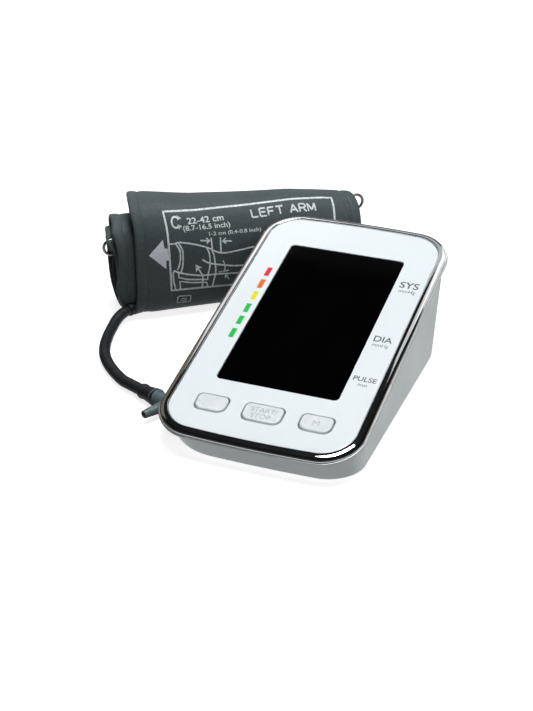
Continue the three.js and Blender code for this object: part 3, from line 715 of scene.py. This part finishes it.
def sheet_grid(turn_range, across, steps):
    """Turn, place, middle surface and outward normal on a grid, and the length along the sheet."""
    turn, place = np.meshgrid(np.linspace(*turn_range, steps), across, indexing="ij")
    middle = roll_middle(turn, place)
    span = 1e-3
    by_turn = roll_middle(turn + span, place) - roll_middle(turn - span, place)
    by_place = roll_middle(turn, place + span) - roll_middle(turn, place - span)
    normal = np.cross(by_place, by_turn)
    normal /= np.linalg.norm(normal, axis=-1, keepdims=True)
    tall = TALL[0] + (TALL[1] - TALL[0]) * np.clip(middle[..., 0] / CUFF_WIDTH, 0, 1)
    outward = np.stack([np.zeros_like(tall), middle[..., 1], middle[..., 2] - tall], -1)
    normal *= np.sign(np.sum(normal * outward, -1, keepdims=True))
    lengths = np.linalg.norm(np.diff(middle[:, len(across) // 2], axis=0), axis=-1)
    arc_length = np.concatenate([[0], np.cumsum(lengths)])
    return turn, place, middle, normal, arc_length


def closed_sheet(name, outer, inner, arc_length, across):
    """A closed mesh from an outer and an inner grid, with the cloth's flat coordinates as its UV map."""
    rows, count = outer.shape[:2]
    points = np.concatenate([outer.reshape(-1, 3), inner.reshape(-1, 3)])
    base = rows * count
    faces = band_faces(rows, count, 0, False)
    faces += [tuple(reversed(face)) for face in band_faces(rows, count, base, False)]
    for row in range(rows - 1):
        for column in (0, count - 1):
            a, b = row * count + column, (row + 1) * count + column
            faces.append((a, b, base + b, base + a))
    for column in range(count - 1):
        for row in (0, rows - 1):
            a, b = row * count + column, row * count + column + 1
            faces.append((a, b, base + b, base + a))
    made = new_object(name, points.tolist(), faces, CUFF_PLACE)
    flat = np.stack(np.meshgrid(arc_length, across, indexing="ij"), -1).reshape(-1, 2)
    flat = np.concatenate([flat, flat])
    layer = made.data.uv_layers.new(name="cloth")
    corners = np.zeros(len(made.data.loops), int)
    made.data.loops.foreach_get("vertex_index", corners)
    layer.data.foreach_set("uv", flat[corners].astype(np.float32).ravel())
    return made


def cuff_sheet():
    half = CUFF_WIDTH / 2
    left = EDGE_STOPS + list(np.linspace(21, half - 3, 12))
    across = left + [half] + [CUFF_WIDTH - stop for stop in reversed(left)]
    steps = int(TURNS * TURN_STEPS)
    turn, place, middle, normal, arc_length = sheet_grid((0, TURNS), across, steps)
    from_side = np.minimum(place, CUFF_WIDTH - place)
    from_end = np.minimum(arc_length, arc_length[-1] - arc_length)[:, None]
    along = arc_length[:, None]
    near_edge = np.minimum(from_side, from_end)
    depth_out = np.interp(near_edge, EDGE_AT, OUTER_DEPTH)
    depth_in = np.interp(near_edge, EDGE_AT, INNER_DEPTH)
    pucker = 0.12 * np.exp(-(((from_side - 8.5) / 3.0) ** 2))
    depth_out += pucker * np.sin(along * 2 * math.pi / 7.5 + 2.5 * wander(along / 18, place / 60, 3.0))
    front = smooth((turn - 0.30) / 0.08) * smooth((0.86 - turn) / 0.08)
    swell = 0.30 * wander(along / 34, place / 27, 1.7) * smooth(from_side / 14)
    creases = np.zeros_like(place)
    for at, lean, width, deep in CREASES:
        centre = at + lean * (turn - 0.45) * 4 + 0.9 * wander(along / 22, 0, at)
        fade = 0.55 + 0.45 * wander(along / 30, 4, at * 1.3)
        creases -= deep * np.exp(-(((place - centre) / width) ** 2)) * fade
    outer = middle + normal * (depth_out + swell + creases * front)[..., None]
    inner = middle - normal * (depth_in + 0.25 * swell)[..., None]
    outer[..., 2] = np.maximum(outer[..., 2], 0.05)
    made = closed_sheet("cuff_sheet", outer, inner, arc_length, across)
    settle(made, "cuff", "cuff_fabric", ["cuff_wrap", "cuff_core"], 60)
    return made, outer, arc_length, across


cuff, cuff_outer, cuff_arc, cuff_across = cuff_sheet()


def inner_layer(name, turn_range, sides, offset, half_depth, slot, node):
    """A thin layer that follows the rolled sheet, offset inwards from its middle."""
    across = np.linspace(*sides, 26)
    steps = max(12, int((turn_range[1] - turn_range[0]) * 90))
    _, place, middle, normal, arc_length = sheet_grid(turn_range, across, steps)
    rim = np.minimum(place - sides[0], sides[1] - place)
    end = np.minimum(arc_length, arc_length[-1] - arc_length)[:, None]
    depth = half_depth * (0.35 + 0.65 * smooth(np.minimum(rim, end) / 2.5))
    outer = middle + normal * (offset + depth)[..., None]
    inner = middle + normal * (offset - depth)[..., None]
    made = closed_sheet(name, outer, inner, arc_length, across)
    return settle(made, "cuff", slot, [node], 60), float(arc_length[-1])


bladder, bladder_length = inner_layer(
    "bladder_sheet", (1.02, 2.2), (16, 120), 0.0, 0.5, "bladder_rubber", "air_bladder",
)
patch, patch_length = inner_layer(
    "hook_tape_sheet", (0.555, 0.655), (30, 118), -PLY - 0.55, 0.4, "hook_tape", "hook_patch",
)


# ---- arm bar: a bent wire loop
def wire_loop(path, radius, sides=14):
    """A round wire along a closed path, in millimetres."""
    path = [Vector(point) for point in path]
    count = len(path)
    points, side = [], None
    for index, point in enumerate(path):
        along = (path[(index + 1) % count] - path[index - 1]).normalized()
        side = (side - along * side.dot(along)).normalized() if side else along.orthogonal().normalized()
        other = along.cross(side)
        for step in range(sides):
            angle = 2 * math.pi * step / sides
            points.append(point + (side * math.cos(angle) + other * math.sin(angle)) * radius)
    faces = band_faces(count, sides)
    last = (count - 1) * sides
    offset = min(range(sides), key=lambda k: (points[k] - points[last]).length)
    for i in range(sides):
        faces.append((last + i, last + (i + 1) % sides, (i + 1 + offset) % sides, (i + offset) % sides))
    return points, faces


BAR_LEFT, BAR_RIGHT = Vector((-16.8, -9, 44.3)), Vector((141.5, -2, 54))
BAR_HEIGHT, BAR_WIRE, BEND_STEPS = 10.5, 1.7, 14


def arm_bar():
    along = (BAR_RIGHT - BAR_LEFT).normalized()
    up = (Vector((0, 0, 1)) - along * along.z).normalized()
    radius = (BAR_HEIGHT - BAR_WIRE) / 2
    inwards = along * (radius + BAR_WIRE / 2)
    left, right = BAR_LEFT + inwards, BAR_RIGHT - inwards
    path = []
    for centre, start, following in ((left, 90, right - up * radius), (right, -90, left + up * radius)):
        for step in range(BEND_STEPS + 1):
            angle = math.radians(start + 180 * step / BEND_STEPS)
            path.append(centre + along * (math.cos(angle) * radius) + up * (math.sin(angle) * radius))
        path += [path[-1].lerp(following, step / BEND_STEPS) for step in range(1, BEND_STEPS)]
    made = new_object("arm_bar_wire", *wire_loop(path, BAR_WIRE / 2), CUFF_PLACE)
    settle(made, "cuff", "steel", ["arm_bar"], 60)


arm_bar()


# ---- air hose, its sleeve and connector
HOSE_DIAMETER = 6.3
HOSE_ROUTE = [
    (-125.76, 126.14, 6.3), (-126.5, 123.9, 6.2), (-127.4, 119.3, 5.5), (-127.4, 113.8, 4.5),
    (-126.4, 107.6, 3.7), (-124.9, 100.7, 3.3), (-122.7, 93.6, 3.3), (-120.0, 86.4, 3.3), (-116.2, 78.9, 3.3),
    (-111.2, 71.8, 3.3), (-105.2, 65.3, 3.3), (-98.7, 59.5, 3.35), (-92.8, 54.9, 3.6), (-88, 52.2, 4.05),
]
ELBOW_CORNER, ELBOW_HEADING = Vector((-58.8, 38.2, 5.3)), math.radians(-26)
ELBOW_REACH, SLEEVE_OVERLAP, SLEEVE_LENGTH = 11.4, 3.2, 12.5
OUTLET, OUTLET_HEADING = Vector((-123.6, 132.1, 6.3)), math.radians(250)


def elbow_point(along, across=0.0, up=0.0):
    c, s = math.cos(ELBOW_HEADING), math.sin(ELBOW_HEADING)
    return ELBOW_CORNER + Vector((along * c + across * s, along * s - across * c, up))


def through(points, steps):
    """A smooth line through the points (Catmull-Rom)."""
    points = [Vector(point) for point in points]
    ends = [points[0] * 2 - points[1], *points, points[-1] * 2 - points[-2]]
    line = []
    for index in range(1, len(ends) - 2):
        p0, p1, p2, p3 = ends[index - 1:index + 3]
        for step in range(steps):
            t = step / steps
            squared, cubed = 2 * p0 - 5 * p1 + 4 * p2 - p3, 3 * p1 - p0 - 3 * p2 + p3
            line.append(0.5 * (2 * p1 + (p2 - p0) * t + squared * t * t + cubed * t ** 3))
    return [*line, points[-1]]


def boot(name, profile, start, towards, node):
    """A rubber boot over an end of the hose."""
    return settle(turned_shape(name, profile, start, towards), "cuff", "black_rubber", [node], 40)


outlet_way = Vector((math.cos(OUTLET_HEADING), math.sin(OUTLET_HEADING), 0))
outlet_profile = [
    (0, 0.1), (0, 4.1), (0.4, 4.6), (8, 4.6), (9, 4.35), (10, 4.5), (11, 4.2), (12, 4.3), (13, 4.0),
    (14, 4.1), (15, 3.8), (17.4, 3.75), (17.9, 3.5), (18, 3.2), (17.2, 3.16), (17.2, 0.1),
]
outlet = boot("hose_boot", outlet_profile, OUTLET - outlet_way * 12, OUTLET, "hose_outlet")

sleeve_start = elbow_point(SLEEVE_OVERLAP - ELBOW_REACH - SLEEVE_LENGTH, 0, -0.8)
sleeve_end = elbow_point(SLEEVE_OVERLAP - ELBOW_REACH)
hose_line = through([*HOSE_ROUTE, *(sleeve_start.lerp(sleeve_end, share) for share in (0.06, 0.5, 1))], 5)
hose_curve = bpy.data.curves.new("hose_tube", "CURVE")
hose_curve.dimensions = "3D"
hose_curve.bevel_depth = HOSE_DIAMETER / 2 * MM
hose_curve.bevel_resolution = 7
hose_curve.use_fill_caps = True
spline = hose_curve.splines.new("POLY")
spline.points.add(len(hose_line) - 1)
for spot, point in zip(spline.points, hose_line):
    spot.co = (*(DESK_PLACE @ (point * MM)), 1)
spline.use_smooth = True
hose_curve.materials.append(MATERIALS["black_rubber"])
hose = add_object("hose_tube", hose_curve)
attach(hose, "cuff")
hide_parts("air_hose")

sleeve_profile = [
    (-0.6, 0.1), (-0.6, 3.0), (-0.9, 3.35), (-0.5, 3.9), (0.6, 4.2), (1.8, 4.05), (3.2, 3.85),
    (5, 4.0), (8, 4.4), (11, 4.8), (12.1, 4.95), (12.5, 4.8), (12.5, 0.1),
]
sleeve = boot("sleeve_boot", sleeve_profile, sleeve_start, sleeve_end, "hose_sleeve")


def elbow():
    """The right-angle connector: a ribbed collar and barrel, a tapered nozzle with its bore, and a fin."""
    corner, nozzle_way = elbow_point(0), elbow_point(0, 1)
    collar = [
        (0.3, 0.1), (0.3, 4.35), (0.6, 4.7), (1.5, 4.7), (1.75, 4.5), (2.0, 4.7), (3.4, 4.7), (3.8, 4.45),
        (3.9, 4.1), (13.2, 4.1), (13.9, 3.6), (14.0, 0.1),
    ]
    made = turned_shape("elbow_moulded", collar, elbow_point(-ELBOW_REACH), corner)
    face_outwards(made.data)
    nozzle = [(0, 0.1), (0, 3.2), (6.2, 2.85), (6.4, 3.05), (7.2, 3.0), (7.4, 2.75)]
    nozzle += [(15.4, 2.15), (15.8, 1.9), (15.8, 0.1)]
    tip = turned_shape("nozzle", nozzle, corner, nozzle_way)
    fin_side = [(0, -3), (4.4, -3.6), (5, -4.2), (5, -8.0), (4.4, -8.7), (0.6, -9.4), (0, -9)]
    count = len(fin_side)
    fin_points = [elbow_point(*spot, up) for up in (-2.6, 0.4) for spot in fin_side]
    fin_faces = [*band_faces(2, count), tuple(range(count)), tuple(range(count, 2 * count))]
    combine(made, [tip, new_object("fin", fin_points, fin_faces, DESK_PLACE)], "UNION")
    combine(made, [turned_shape("bore", [(7.8, 1.25), (17, 1.25)], corner, nozzle_way, 32)], "DIFFERENCE")
    return settle(made, "cuff", "connector_grey", ["elbow_connector"], 35)


connector = elbow()


# ---- print: thin raised shapes
def moved(points, place, turn):
    """Flat points turned by an angle in degrees, then moved to a place."""
    c, s = math.cos(math.radians(turn)), math.sin(math.radians(turn))
    return [Vector((place[0] + x * c - y * s, place[1] + x * s + y * c)) for x, y in points]


def ribbon(points, width):
    """Quads along a line of 2-D points."""
    verts, faces = [], []
    points = [Vector(point) for point in points]
    for index, point in enumerate(points):
        before, after = points[max(index - 1, 0)], points[min(index + 1, len(points) - 1)]
        along = (after - before).normalized()
        side = Vector((-along.y, along.x)) * width / 2
        verts += [point + side, point - side]
        if index:
            faces.append((2 * index - 2, 2 * index, 2 * index + 1, 2 * index - 1))
    return verts, faces


def line(points, width, step=2.5):
    dense = [Vector(points[0])]
    for a, b in zip(points, points[1:]):
        a, b = Vector(a), Vector(b)
        pieces = max(1, int((b - a).length / step))
        dense += [a.lerp(b, index / pieces) for index in range(1, pieces + 1)]
    return ribbon(dense, width)


def bent(points, width, steps=8):
    smooth_line = through([(*point, 0) for point in points], steps)
    return ribbon([point.xy for point in smooth_line], width)


def polygon(points):
    return [Vector(point) for point in points], [tuple(range(len(points)))]


def word(text, x, y, size, align="LEFT", turn=0.0, width=None, bold=0.0):
    """Flat letters in the built-in font, stretched to a width when one is given."""
    font = bpy.data.curves.new("letters", "FONT")
    font.body, font.size, font.align_x = text, size, align
    font.resolution_u = 5
    font.offset = bold * size
    holder = add_object("letters", font)
    mesh = solid_mesh(holder)
    across = [vert.co.x for vert in mesh.vertices]
    stretch = width / (max(across) - min(across)) if width else 1.0
    faces = [tuple(face.vertices) for face in mesh.polygons]
    bpy.data.objects.remove(holder)
    return moved([(vert.co.x * stretch, vert.co.y) for vert in mesh.vertices], (x, y), turn), faces


def relief(name, shapes, place_point, heights, grid, body, slot, look, sharp=32):
    """One piece of closed thin shapes, cut to a grid. place_point turns (x, y, height) into a place."""
    low, high = heights
    whole = bmesh.new()
    for verts, faces in shapes:
        work = bmesh.new()
        made = [work.verts.new((vert[0], vert[1], 0)) for vert in verts]
        for face in faces:
            try:
                work.faces.new([made[index] for index in face])
            except ValueError:
                continue
        bmesh.ops.remove_doubles(work, verts=work.verts, dist=1e-4)
        for axis, direction in enumerate(((1, 0, 0), (0, 1, 0))):
            places = [vert.co[axis] for vert in work.verts]
            cut = math.ceil(min(places) / grid) * grid
            while cut < max(places):
                everything = [*work.verts, *work.edges, *work.faces]
                at = [cut * component for component in direction]
                bmesh.ops.bisect_plane(work, geom=everything, plane_co=at, plane_no=direction, dist=1e-5)
                cut += grid
        work.verts.index_update()
        flat = [(vert.co.x, vert.co.y) for vert in work.verts]
        tops = [whole.verts.new(place_point(x, y, high)) for x, y in flat]
        bottoms = [whole.verts.new(place_point(x, y, low)) for x, y in flat]
        for face in work.faces:
            order = [vert.index for vert in face.verts]
            whole.faces.new([tops[index] for index in order])
            whole.faces.new([bottoms[index] for index in reversed(order)])
        for edge in work.edges:
            if len(edge.link_faces) == 1:
                a, b = (vert.index for vert in edge.verts)
                whole.faces.new([tops[a], tops[b], bottoms[b], bottoms[a]])
        work.free()
    mesh = bpy.data.meshes.new(name)
    whole.to_mesh(mesh)
    whole.free()
    settle(add_object(name, mesh), body, slot, (), sharp, look)


def on_face(x, y, height):
    return FACE_PLACE @ (Vector((x, y, height)) * MM)


FACE_PRINT, KEY_PRINT, CLOTH_PRINT, WHOLE = (-0.02, 0.03), (0.2, 0.45), (-0.2, 0.1), 50
MARK_LEFT, MARK_RIGHT = -38, -35.3
MARKS = [
    ("red", 122.3, 129.5), ("orange", 111.8, 119), ("yellow", 101.6, 108.6),
    ("green", 91.3, 98.4), ("green", 81.4, 88.2), ("green", 70.9, 78),
]
for number, (colour, low, high) in enumerate(MARKS, 1):
    mark = polygon([(MARK_LEFT, low), (MARK_RIGHT, low), (MARK_RIGHT, high), (MARK_LEFT, high)])
    ink = "mark_" + colour
    relief(f"range_mark_{number}", [mark], on_face, FACE_PRINT, WHOLE, "desk_unit", "white_face", ink)

READINGS = [
    ("SYS", 40.5, 130.8, 7.0, 0.012), ("mmHg", 40.6, 127.0, 3.4, 0), ("DIA", 39.9, 86.9, 6.0, 0.012),
    ("mmHg", 39.9, 83.3, 3.2, 0), ("PULSE", 40.3, 57.0, 4.6, 0.012), ("/min", 40.3, 53.4, 3.0, 0),
]
face_words = [word(*row[:4], "CENTER", bold=row[4]) for row in READINGS]
relief("face_print", face_words, on_face, FACE_PRINT, WHOLE, "desk_unit", "white_face", "face_ink")
# The raised key letters take a darker copy of the key caps' colour: painted shade for their embossing
KEY_WORDS = {
    "start_stop_button": [("START/", 0.2, 23.1, 4.3, 0.01), ("STOP", -0.3, 18.9, 4.3, 0.01)],
    "memory_button": [("M", 27.4, 21.2, 5.4, 0)],
}
for key_name, rows in KEY_WORDS.items():
    words = [word(*row[:4], "CENTER", bold=row[4]) for row in rows]
    piece_name = key_name.replace("_button", "_letters")
    relief(piece_name, words, on_face, KEY_PRINT, WHOLE, KEY_BODIES[key_name], "button_caps", "key_letters_painted_shade")


def on_cloth(across, up, height):
    """A place on the cuff's outer face, from its flat place on the cloth, lifted off it by height."""
    row = min(np.interp(-up, cuff_arc, range(len(cuff_arc))), len(cuff_arc) - 1.001)
    column = min(np.interp(across, cuff_across, range(len(cuff_across))), len(cuff_across) - 1.001)
    r, c = int(row), int(column)
    u, v = row - r, column - c
    near, far = cuff_outer[r:r + 2, c], cuff_outer[r:r + 2, c + 1]
    low, high = near[0] * (1 - v) + far[0] * v, near[1] * (1 - v) + far[1] * v
    left, right = near[0] * (1 - u) + near[1] * u, far[0] * (1 - u) + far[1] * u
    normal = Vector(np.cross(right - left, low - high)).normalized()
    if normal.y > 0:
        normal = -normal
    return CUFF_PLACE @ ((Vector(low * (1 - u) + high * u) + normal * height) * MM)


STROKES = {
    "L": (0.75, [(0, 1), (0, 0), (0.75, 0)]),
    "E": (0.75, [(0.75, 1), (0, 1), (0, 0), (0.75, 0)], [(0, 0.52), (0.68, 0.52)]),
    "F": (0.75, [(0.75, 1), (0, 1), (0, 0)], [(0, 0.52), (0.65, 0.52)]),
    "T": (0.88, [(0, 1), (0.88, 1)], [(0.44, 1), (0.44, 0)]),
    "A": (0.9, [(0, 0), (0.45, 1), (0.9, 0)], [(0.16, 0.33), (0.74, 0.33)]),
    "R": (
        0.8, [(0, 0), (0, 1), (0.5, 1), (0.74, 0.9), (0.74, 0.6), (0.5, 0.5), (0, 0.5)],
        [(0.42, 0.5), (0.8, 0)],
    ),
    "M": (0.9, [(0, 0), (0, 1), (0.45, 0.15), (0.9, 1), (0.9, 0)]),
    " ": (0.28,),
}
LETTER_WIDENING, LETTER_GAP = 1.15, 0.28


def stroked(text, x, y, height, turn, width):
    """Plain capital letters drawn with straight strokes of one width."""
    shapes, along = [], 0.0
    for letter in text:
        advance, *strokes = STROKES[letter]
        for stroke in strokes:
            spots = [((along + px) * LETTER_WIDENING * height, py * height) for px, py in stroke]
            spots = moved(spots, (x, y), turn)
            shapes += [line(pair, width) for pair in zip(spots, spots[1:])]
        along += advance + LETTER_GAP
    return shapes


def chevron(tip, turn, size, width):
    return line(moved([(-size, size * 0.8), (0, 0), (-size, -size * 0.8)], tip, turn), width)


def arrow_head(tip, turn, size):
    return polygon(moved([(0, 0), (-size, size * 0.55), (-size * 0.7, 0), (-size, -size * 0.55)], tip, turn))


# The print's places are (across the cloth, minus the length along it).
FRAME = [
    (51.9, -117.0), (20.0, -115.9), (19.0, -91), (18.6, -73.7), (55, -71.6), (120.1, -68.1),
    (119.2, -81.5), (119.0, -118.5), (51.9, -117.0),
]
CUFF_EDGES = [
    [(23.0, -90.9), (25.2, -94.4), (25.6, -98.1), (25.0, -101.6), (23.7, -104.4)],
    [(24.8, -90.7), (26.8, -94.3), (27.1, -98.2), (26.8, -102.2), (25.6, -106.2)],
    [(41.1, -93.6), (42.5, -97.2), (42.9, -101.0), (42.6, -104.8), (41.6, -108.5)],
    [(43.5, -94.2), (45.1, -97.6), (45.7, -101.2), (46.2, -107.4), (45.2, -112), (44.2, -116.4)],
]
ARM = [
    [
        (18.8, -91.1), (22.7, -90.9), (25.4, -90.3), (33.2, -91.4),
        (41.1, -93.6), (49.6, -97.2), (60.4, -96.2), (84, -92),
    ],
    [(38.3, -100.2), (42.5, -102.4), (51.6, -104.3), (60.3, -105.4), (84, -106)],
    [
        (22.4, -104.9), (23.7, -105.6), (30.1, -107.5), (38.1, -108.9),
        (46.2, -109.1), (59.2, -109.8), (84, -110.6),
    ],
    [(22.4, -104.6), (21.2, -105.6), (21.2, -109.6), (22.4, -115.6)],
]
POINTER = [(38.1, -116.3), (38.5, -112.4), (38.1, -108.7), (35.9, -104.9)]
STRAIGHT = [
    [(44.0, -88.3), (44.4, -94.8)], [(49.4, -88.3), (49.5, -97.4)],
    [(37.6, -89.6), (42.6, -89.9)], [(56.1, -90.7), (51.1, -90.4)],
    [(24.2, -106.1), (24.4, -108.7), (30.0, -110.4), (41.3, -111.8), (41.6, -108.5)],
    [(25.2, -115.8), (24.9, -110.9), (31.6, -112.5), (40.8, -113.5), (41.5, -116.5)],
]
FINE = [
    [(48.0, -108.0), (50.0, -107.9)], [(51.8, -107.8), (54.0, -107.6)], [(52.0, -110.6), (54.4, -113.2)],
    [(26.2, -123.9), (30.0, -124.1)], [(26.6, -122.5), (29.6, -122.7)],
]
ROUND_ARROW = [
    (26.2, -77.2), (24.6, -76.4), (23.0, -77.3), (22.3, -79.3), (22.6, -81.3), (24.0, -82.4), (25.7, -81.8),
]
SIZE_BOX = [(24.2, -120.5), (31.9, -121.0), (32.1, -125.9), (24.3, -125.4), (24.2, -120.5)]
HEADS = [((28.2, -77.3), -8, 2.6), ((27.8, -81.4), 12, 2.6), ((34.2, -102.4), 124, 4.0)]
THIN_LINE, FRAME_LINE, FINE_LINE = 0.85, 1.1, 0.6
drawing = [
    line(FRAME, FRAME_LINE), line(SIZE_BOX, 0.7, 1.5), bent(ROUND_ARROW, 1.0),
    bent([(50.6, -101.6), (51.6, -104.2), (51.6, -106.6), (50.8, -108.4)], FINE_LINE),
    *[line(points, THIN_LINE) for points in STRAIGHT],
    *[line(points, FINE_LINE) for points in FINE],
    *[bent(points, THIN_LINE) for points in (*ARM, *CUFF_EDGES, POINTER)],
    *[arrow_head(*head) for head in HEADS],
    chevron((43.0, -89.9), 0, 1.9, THIN_LINE), chevron((50.7, -90.4), 180, 1.9, THIN_LINE),
    chevron((51.8, -110.4), 130, 1.5, FINE_LINE),
    word("22-42 cm", 31.2, -80.4, 4.7, turn=4, width=21.6, bold=0.018),
    word("(8.7-16.5 inch)", 28.0, -84.1, 3.9, turn=3.3, width=27.8, bold=0.015),
    word("1-2 cm (0.4-0.8 inch)", 42.3, -87.2, 3.0, turn=2.6, width=31, bold=0.01),
    *stroked("LEFT ARM", 69.8, -78.2, 4.2, 3.2, 0.9),
]
ARROW = [
    (7.6, -96.9), (15.8, -88.7), (16.6, -93.3), (18.2, -93.4), (18.9, -99.4), (17.2, -99.6), (17.2, -103.4),
]
relief("cuff_print", drawing, on_cloth, CLOTH_PRINT, 2.5, "cuff", "cuff_fabric", "cuff_ink", 60)
relief("cuff_arrow", [polygon(ARROW)], on_cloth, CLOTH_PRINT, 1.5, "cuff", "cuff_fabric", "arrow_ink", 60)

# ---- floor and light
# The floor's rings, as (radius, height) in metres: flat, then a rim that turns up.
FLOOR_RINGS, FLOOR_SIDES = [(18.0, 0.0), (19.0, 0.5), (20.0, 14.0)], 96
floor_mesh = bpy.data.meshes.new("floor")
floor_angles = [2 * math.pi * side / FLOOR_SIDES for side in range(FLOOR_SIDES)]
floor_points = [
    (radius * math.cos(angle), radius * math.sin(angle), height)
    for radius, height in FLOOR_RINGS for angle in floor_angles
]
floor_faces = [tuple(range(FLOOR_SIDES)), *band_faces(len(FLOOR_RINGS), FLOOR_SIDES)]
floor_mesh.from_pydata(floor_points, [], floor_faces)
floor = add_object("floor", floor_mesh)
floor.location.z = FOOT_LOW.z - 0.0002
floor_look = surface(
    "floor", (0.6, 0.6, 0.6), (0.58, 0.58, 0.58), (0.85, 0.95), 3, 200, 0.01, Specular_IOR_Level=0.0,
    Emission_Color=(1.0, 1.0, 1.0), Emission_Strength=0.8,
)
floor_mesh.materials.append(floor_look)
floor.visible_diffuse = False
floor.visible_glossy = False
floor.visible_shadow = False


def area_light(name, width, height, power, colour):
    lamp = bpy.data.lights.new(name, "AREA")
    lamp.shape, lamp.size, lamp.size_y = "RECTANGLE", width, height
    lamp.energy, lamp.color = power, colour
    return add_object(name, lamp)


def softbox(name, direction, distance, size, power, glossy=True):
    """A white soft light that faces the object from a direction, in metres and watts."""
    obj = area_light(name, *size, power, (1, 1, 1))
    towards = Vector(direction).normalized()
    obj.location = Vector((0, 0, 0.03)) + towards * distance
    obj.rotation_euler = (-towards).to_track_quat("-Z", "Y").to_euler()
    obj.visible_glossy = glossy


def card(name, middle, across, up, size, radiance, colour=(1, 1, 1)):
    """A glowing panel, in millimetres from the desk unit's front, that only shows in reflections."""
    width, height = size[0] * MM, size[1] * MM
    obj = area_light(name, width, height, radiance * math.pi * width * height, colour)
    across, up = Vector(across).normalized(), Vector(up).normalized()
    turn = Matrix((across, up, across.cross(up))).transposed().to_4x4()
    obj.matrix_world = Matrix.Translation(desk(*middle)) @ turn
    obj.visible_diffuse = False


softbox("light_key", (0.11, -0.04, 0.993), 1.3, (0.62, 0.56), 16.0)
softbox("light_fill", (0.55, -0.68, 0.49), 1.5, (0.6, 0.6), 4.4, False)
softbox("light_rear", (-0.5, 0.8, 0.35), 1.6, (0.9, 0.9), 5.0, False)
softbox("light_back", (0.1, 1.0, 0.03), 1.6, (1.9, 0.36), 2.0)
card("card_right_back", (125, 262, 205), (-1, 0, 0), (0, 0, 1), (140, 340), 0.7)
card(
    "card_left", (-610, 335, 400), (0.401, 0.916, 0), (-0.455, 0.199, -0.868), (620, 420),
    0.17, (1, 0.82, 0.66),
)
card("card_back", (0, 500, 410), (1, 0, 0), (0, 0.73, -0.68), (700, 200), 0.5)
card("card_left_back", (-290, 425, 370), (0.573, 0.819, 0), (-0.647, 0.453, -0.61), (230, 230), 0.75)
card("card_warm", (262, 215, 35), (-0.74, 0.67, 0), (0, 0, 1), (90, 60), 0.3, (1.0, 0.66, 0.45))
for name, y, radiance in (("card_table_front", -475, 0.56), ("card_table_back", 975, 0.85)):
    card(name, (100, y, -420), (-1, 0, 0), (0, 1, 0), (2400, 1450), radiance, (0.97, 1.0, 1.0))

world = bpy.data.worlds.new("studio")
SCENE.world = world
world.use_nodes = True
tree = world.node_tree
coordinates = tree.nodes.new("ShaderNodeTexCoord")
split = tree.nodes.new("ShaderNodeSeparateXYZ")
ramp = tree.nodes.new("ShaderNodeValToRGB")
lift = tree.nodes.new("ShaderNodeMapRange")
lift.inputs["From Min"].default_value = -1
tree.links.new(coordinates.outputs["Generated"], split.inputs[0])
tree.links.new(split.outputs["Z"], lift.inputs["Value"])
tree.links.new(lift.outputs["Result"], ramp.inputs["Fac"])
SKY = [(0.0, 0.012), (0.5, 0.012), (0.545, 0.006), (0.57, 0.24), (0.595, 0.006), (0.8, 0.006), (1.0, 0.015)]
stops = ramp.color_ramp.elements
for index, (position, value) in enumerate(SKY):
    stop = stops[index] if index < 2 else stops.new(position)
    stop.position, stop.color = position, (value * 0.96, value, value * 1.04, 1)
tree.links.new(ramp.outputs["Color"], tree.nodes["Background"].inputs["Color"])
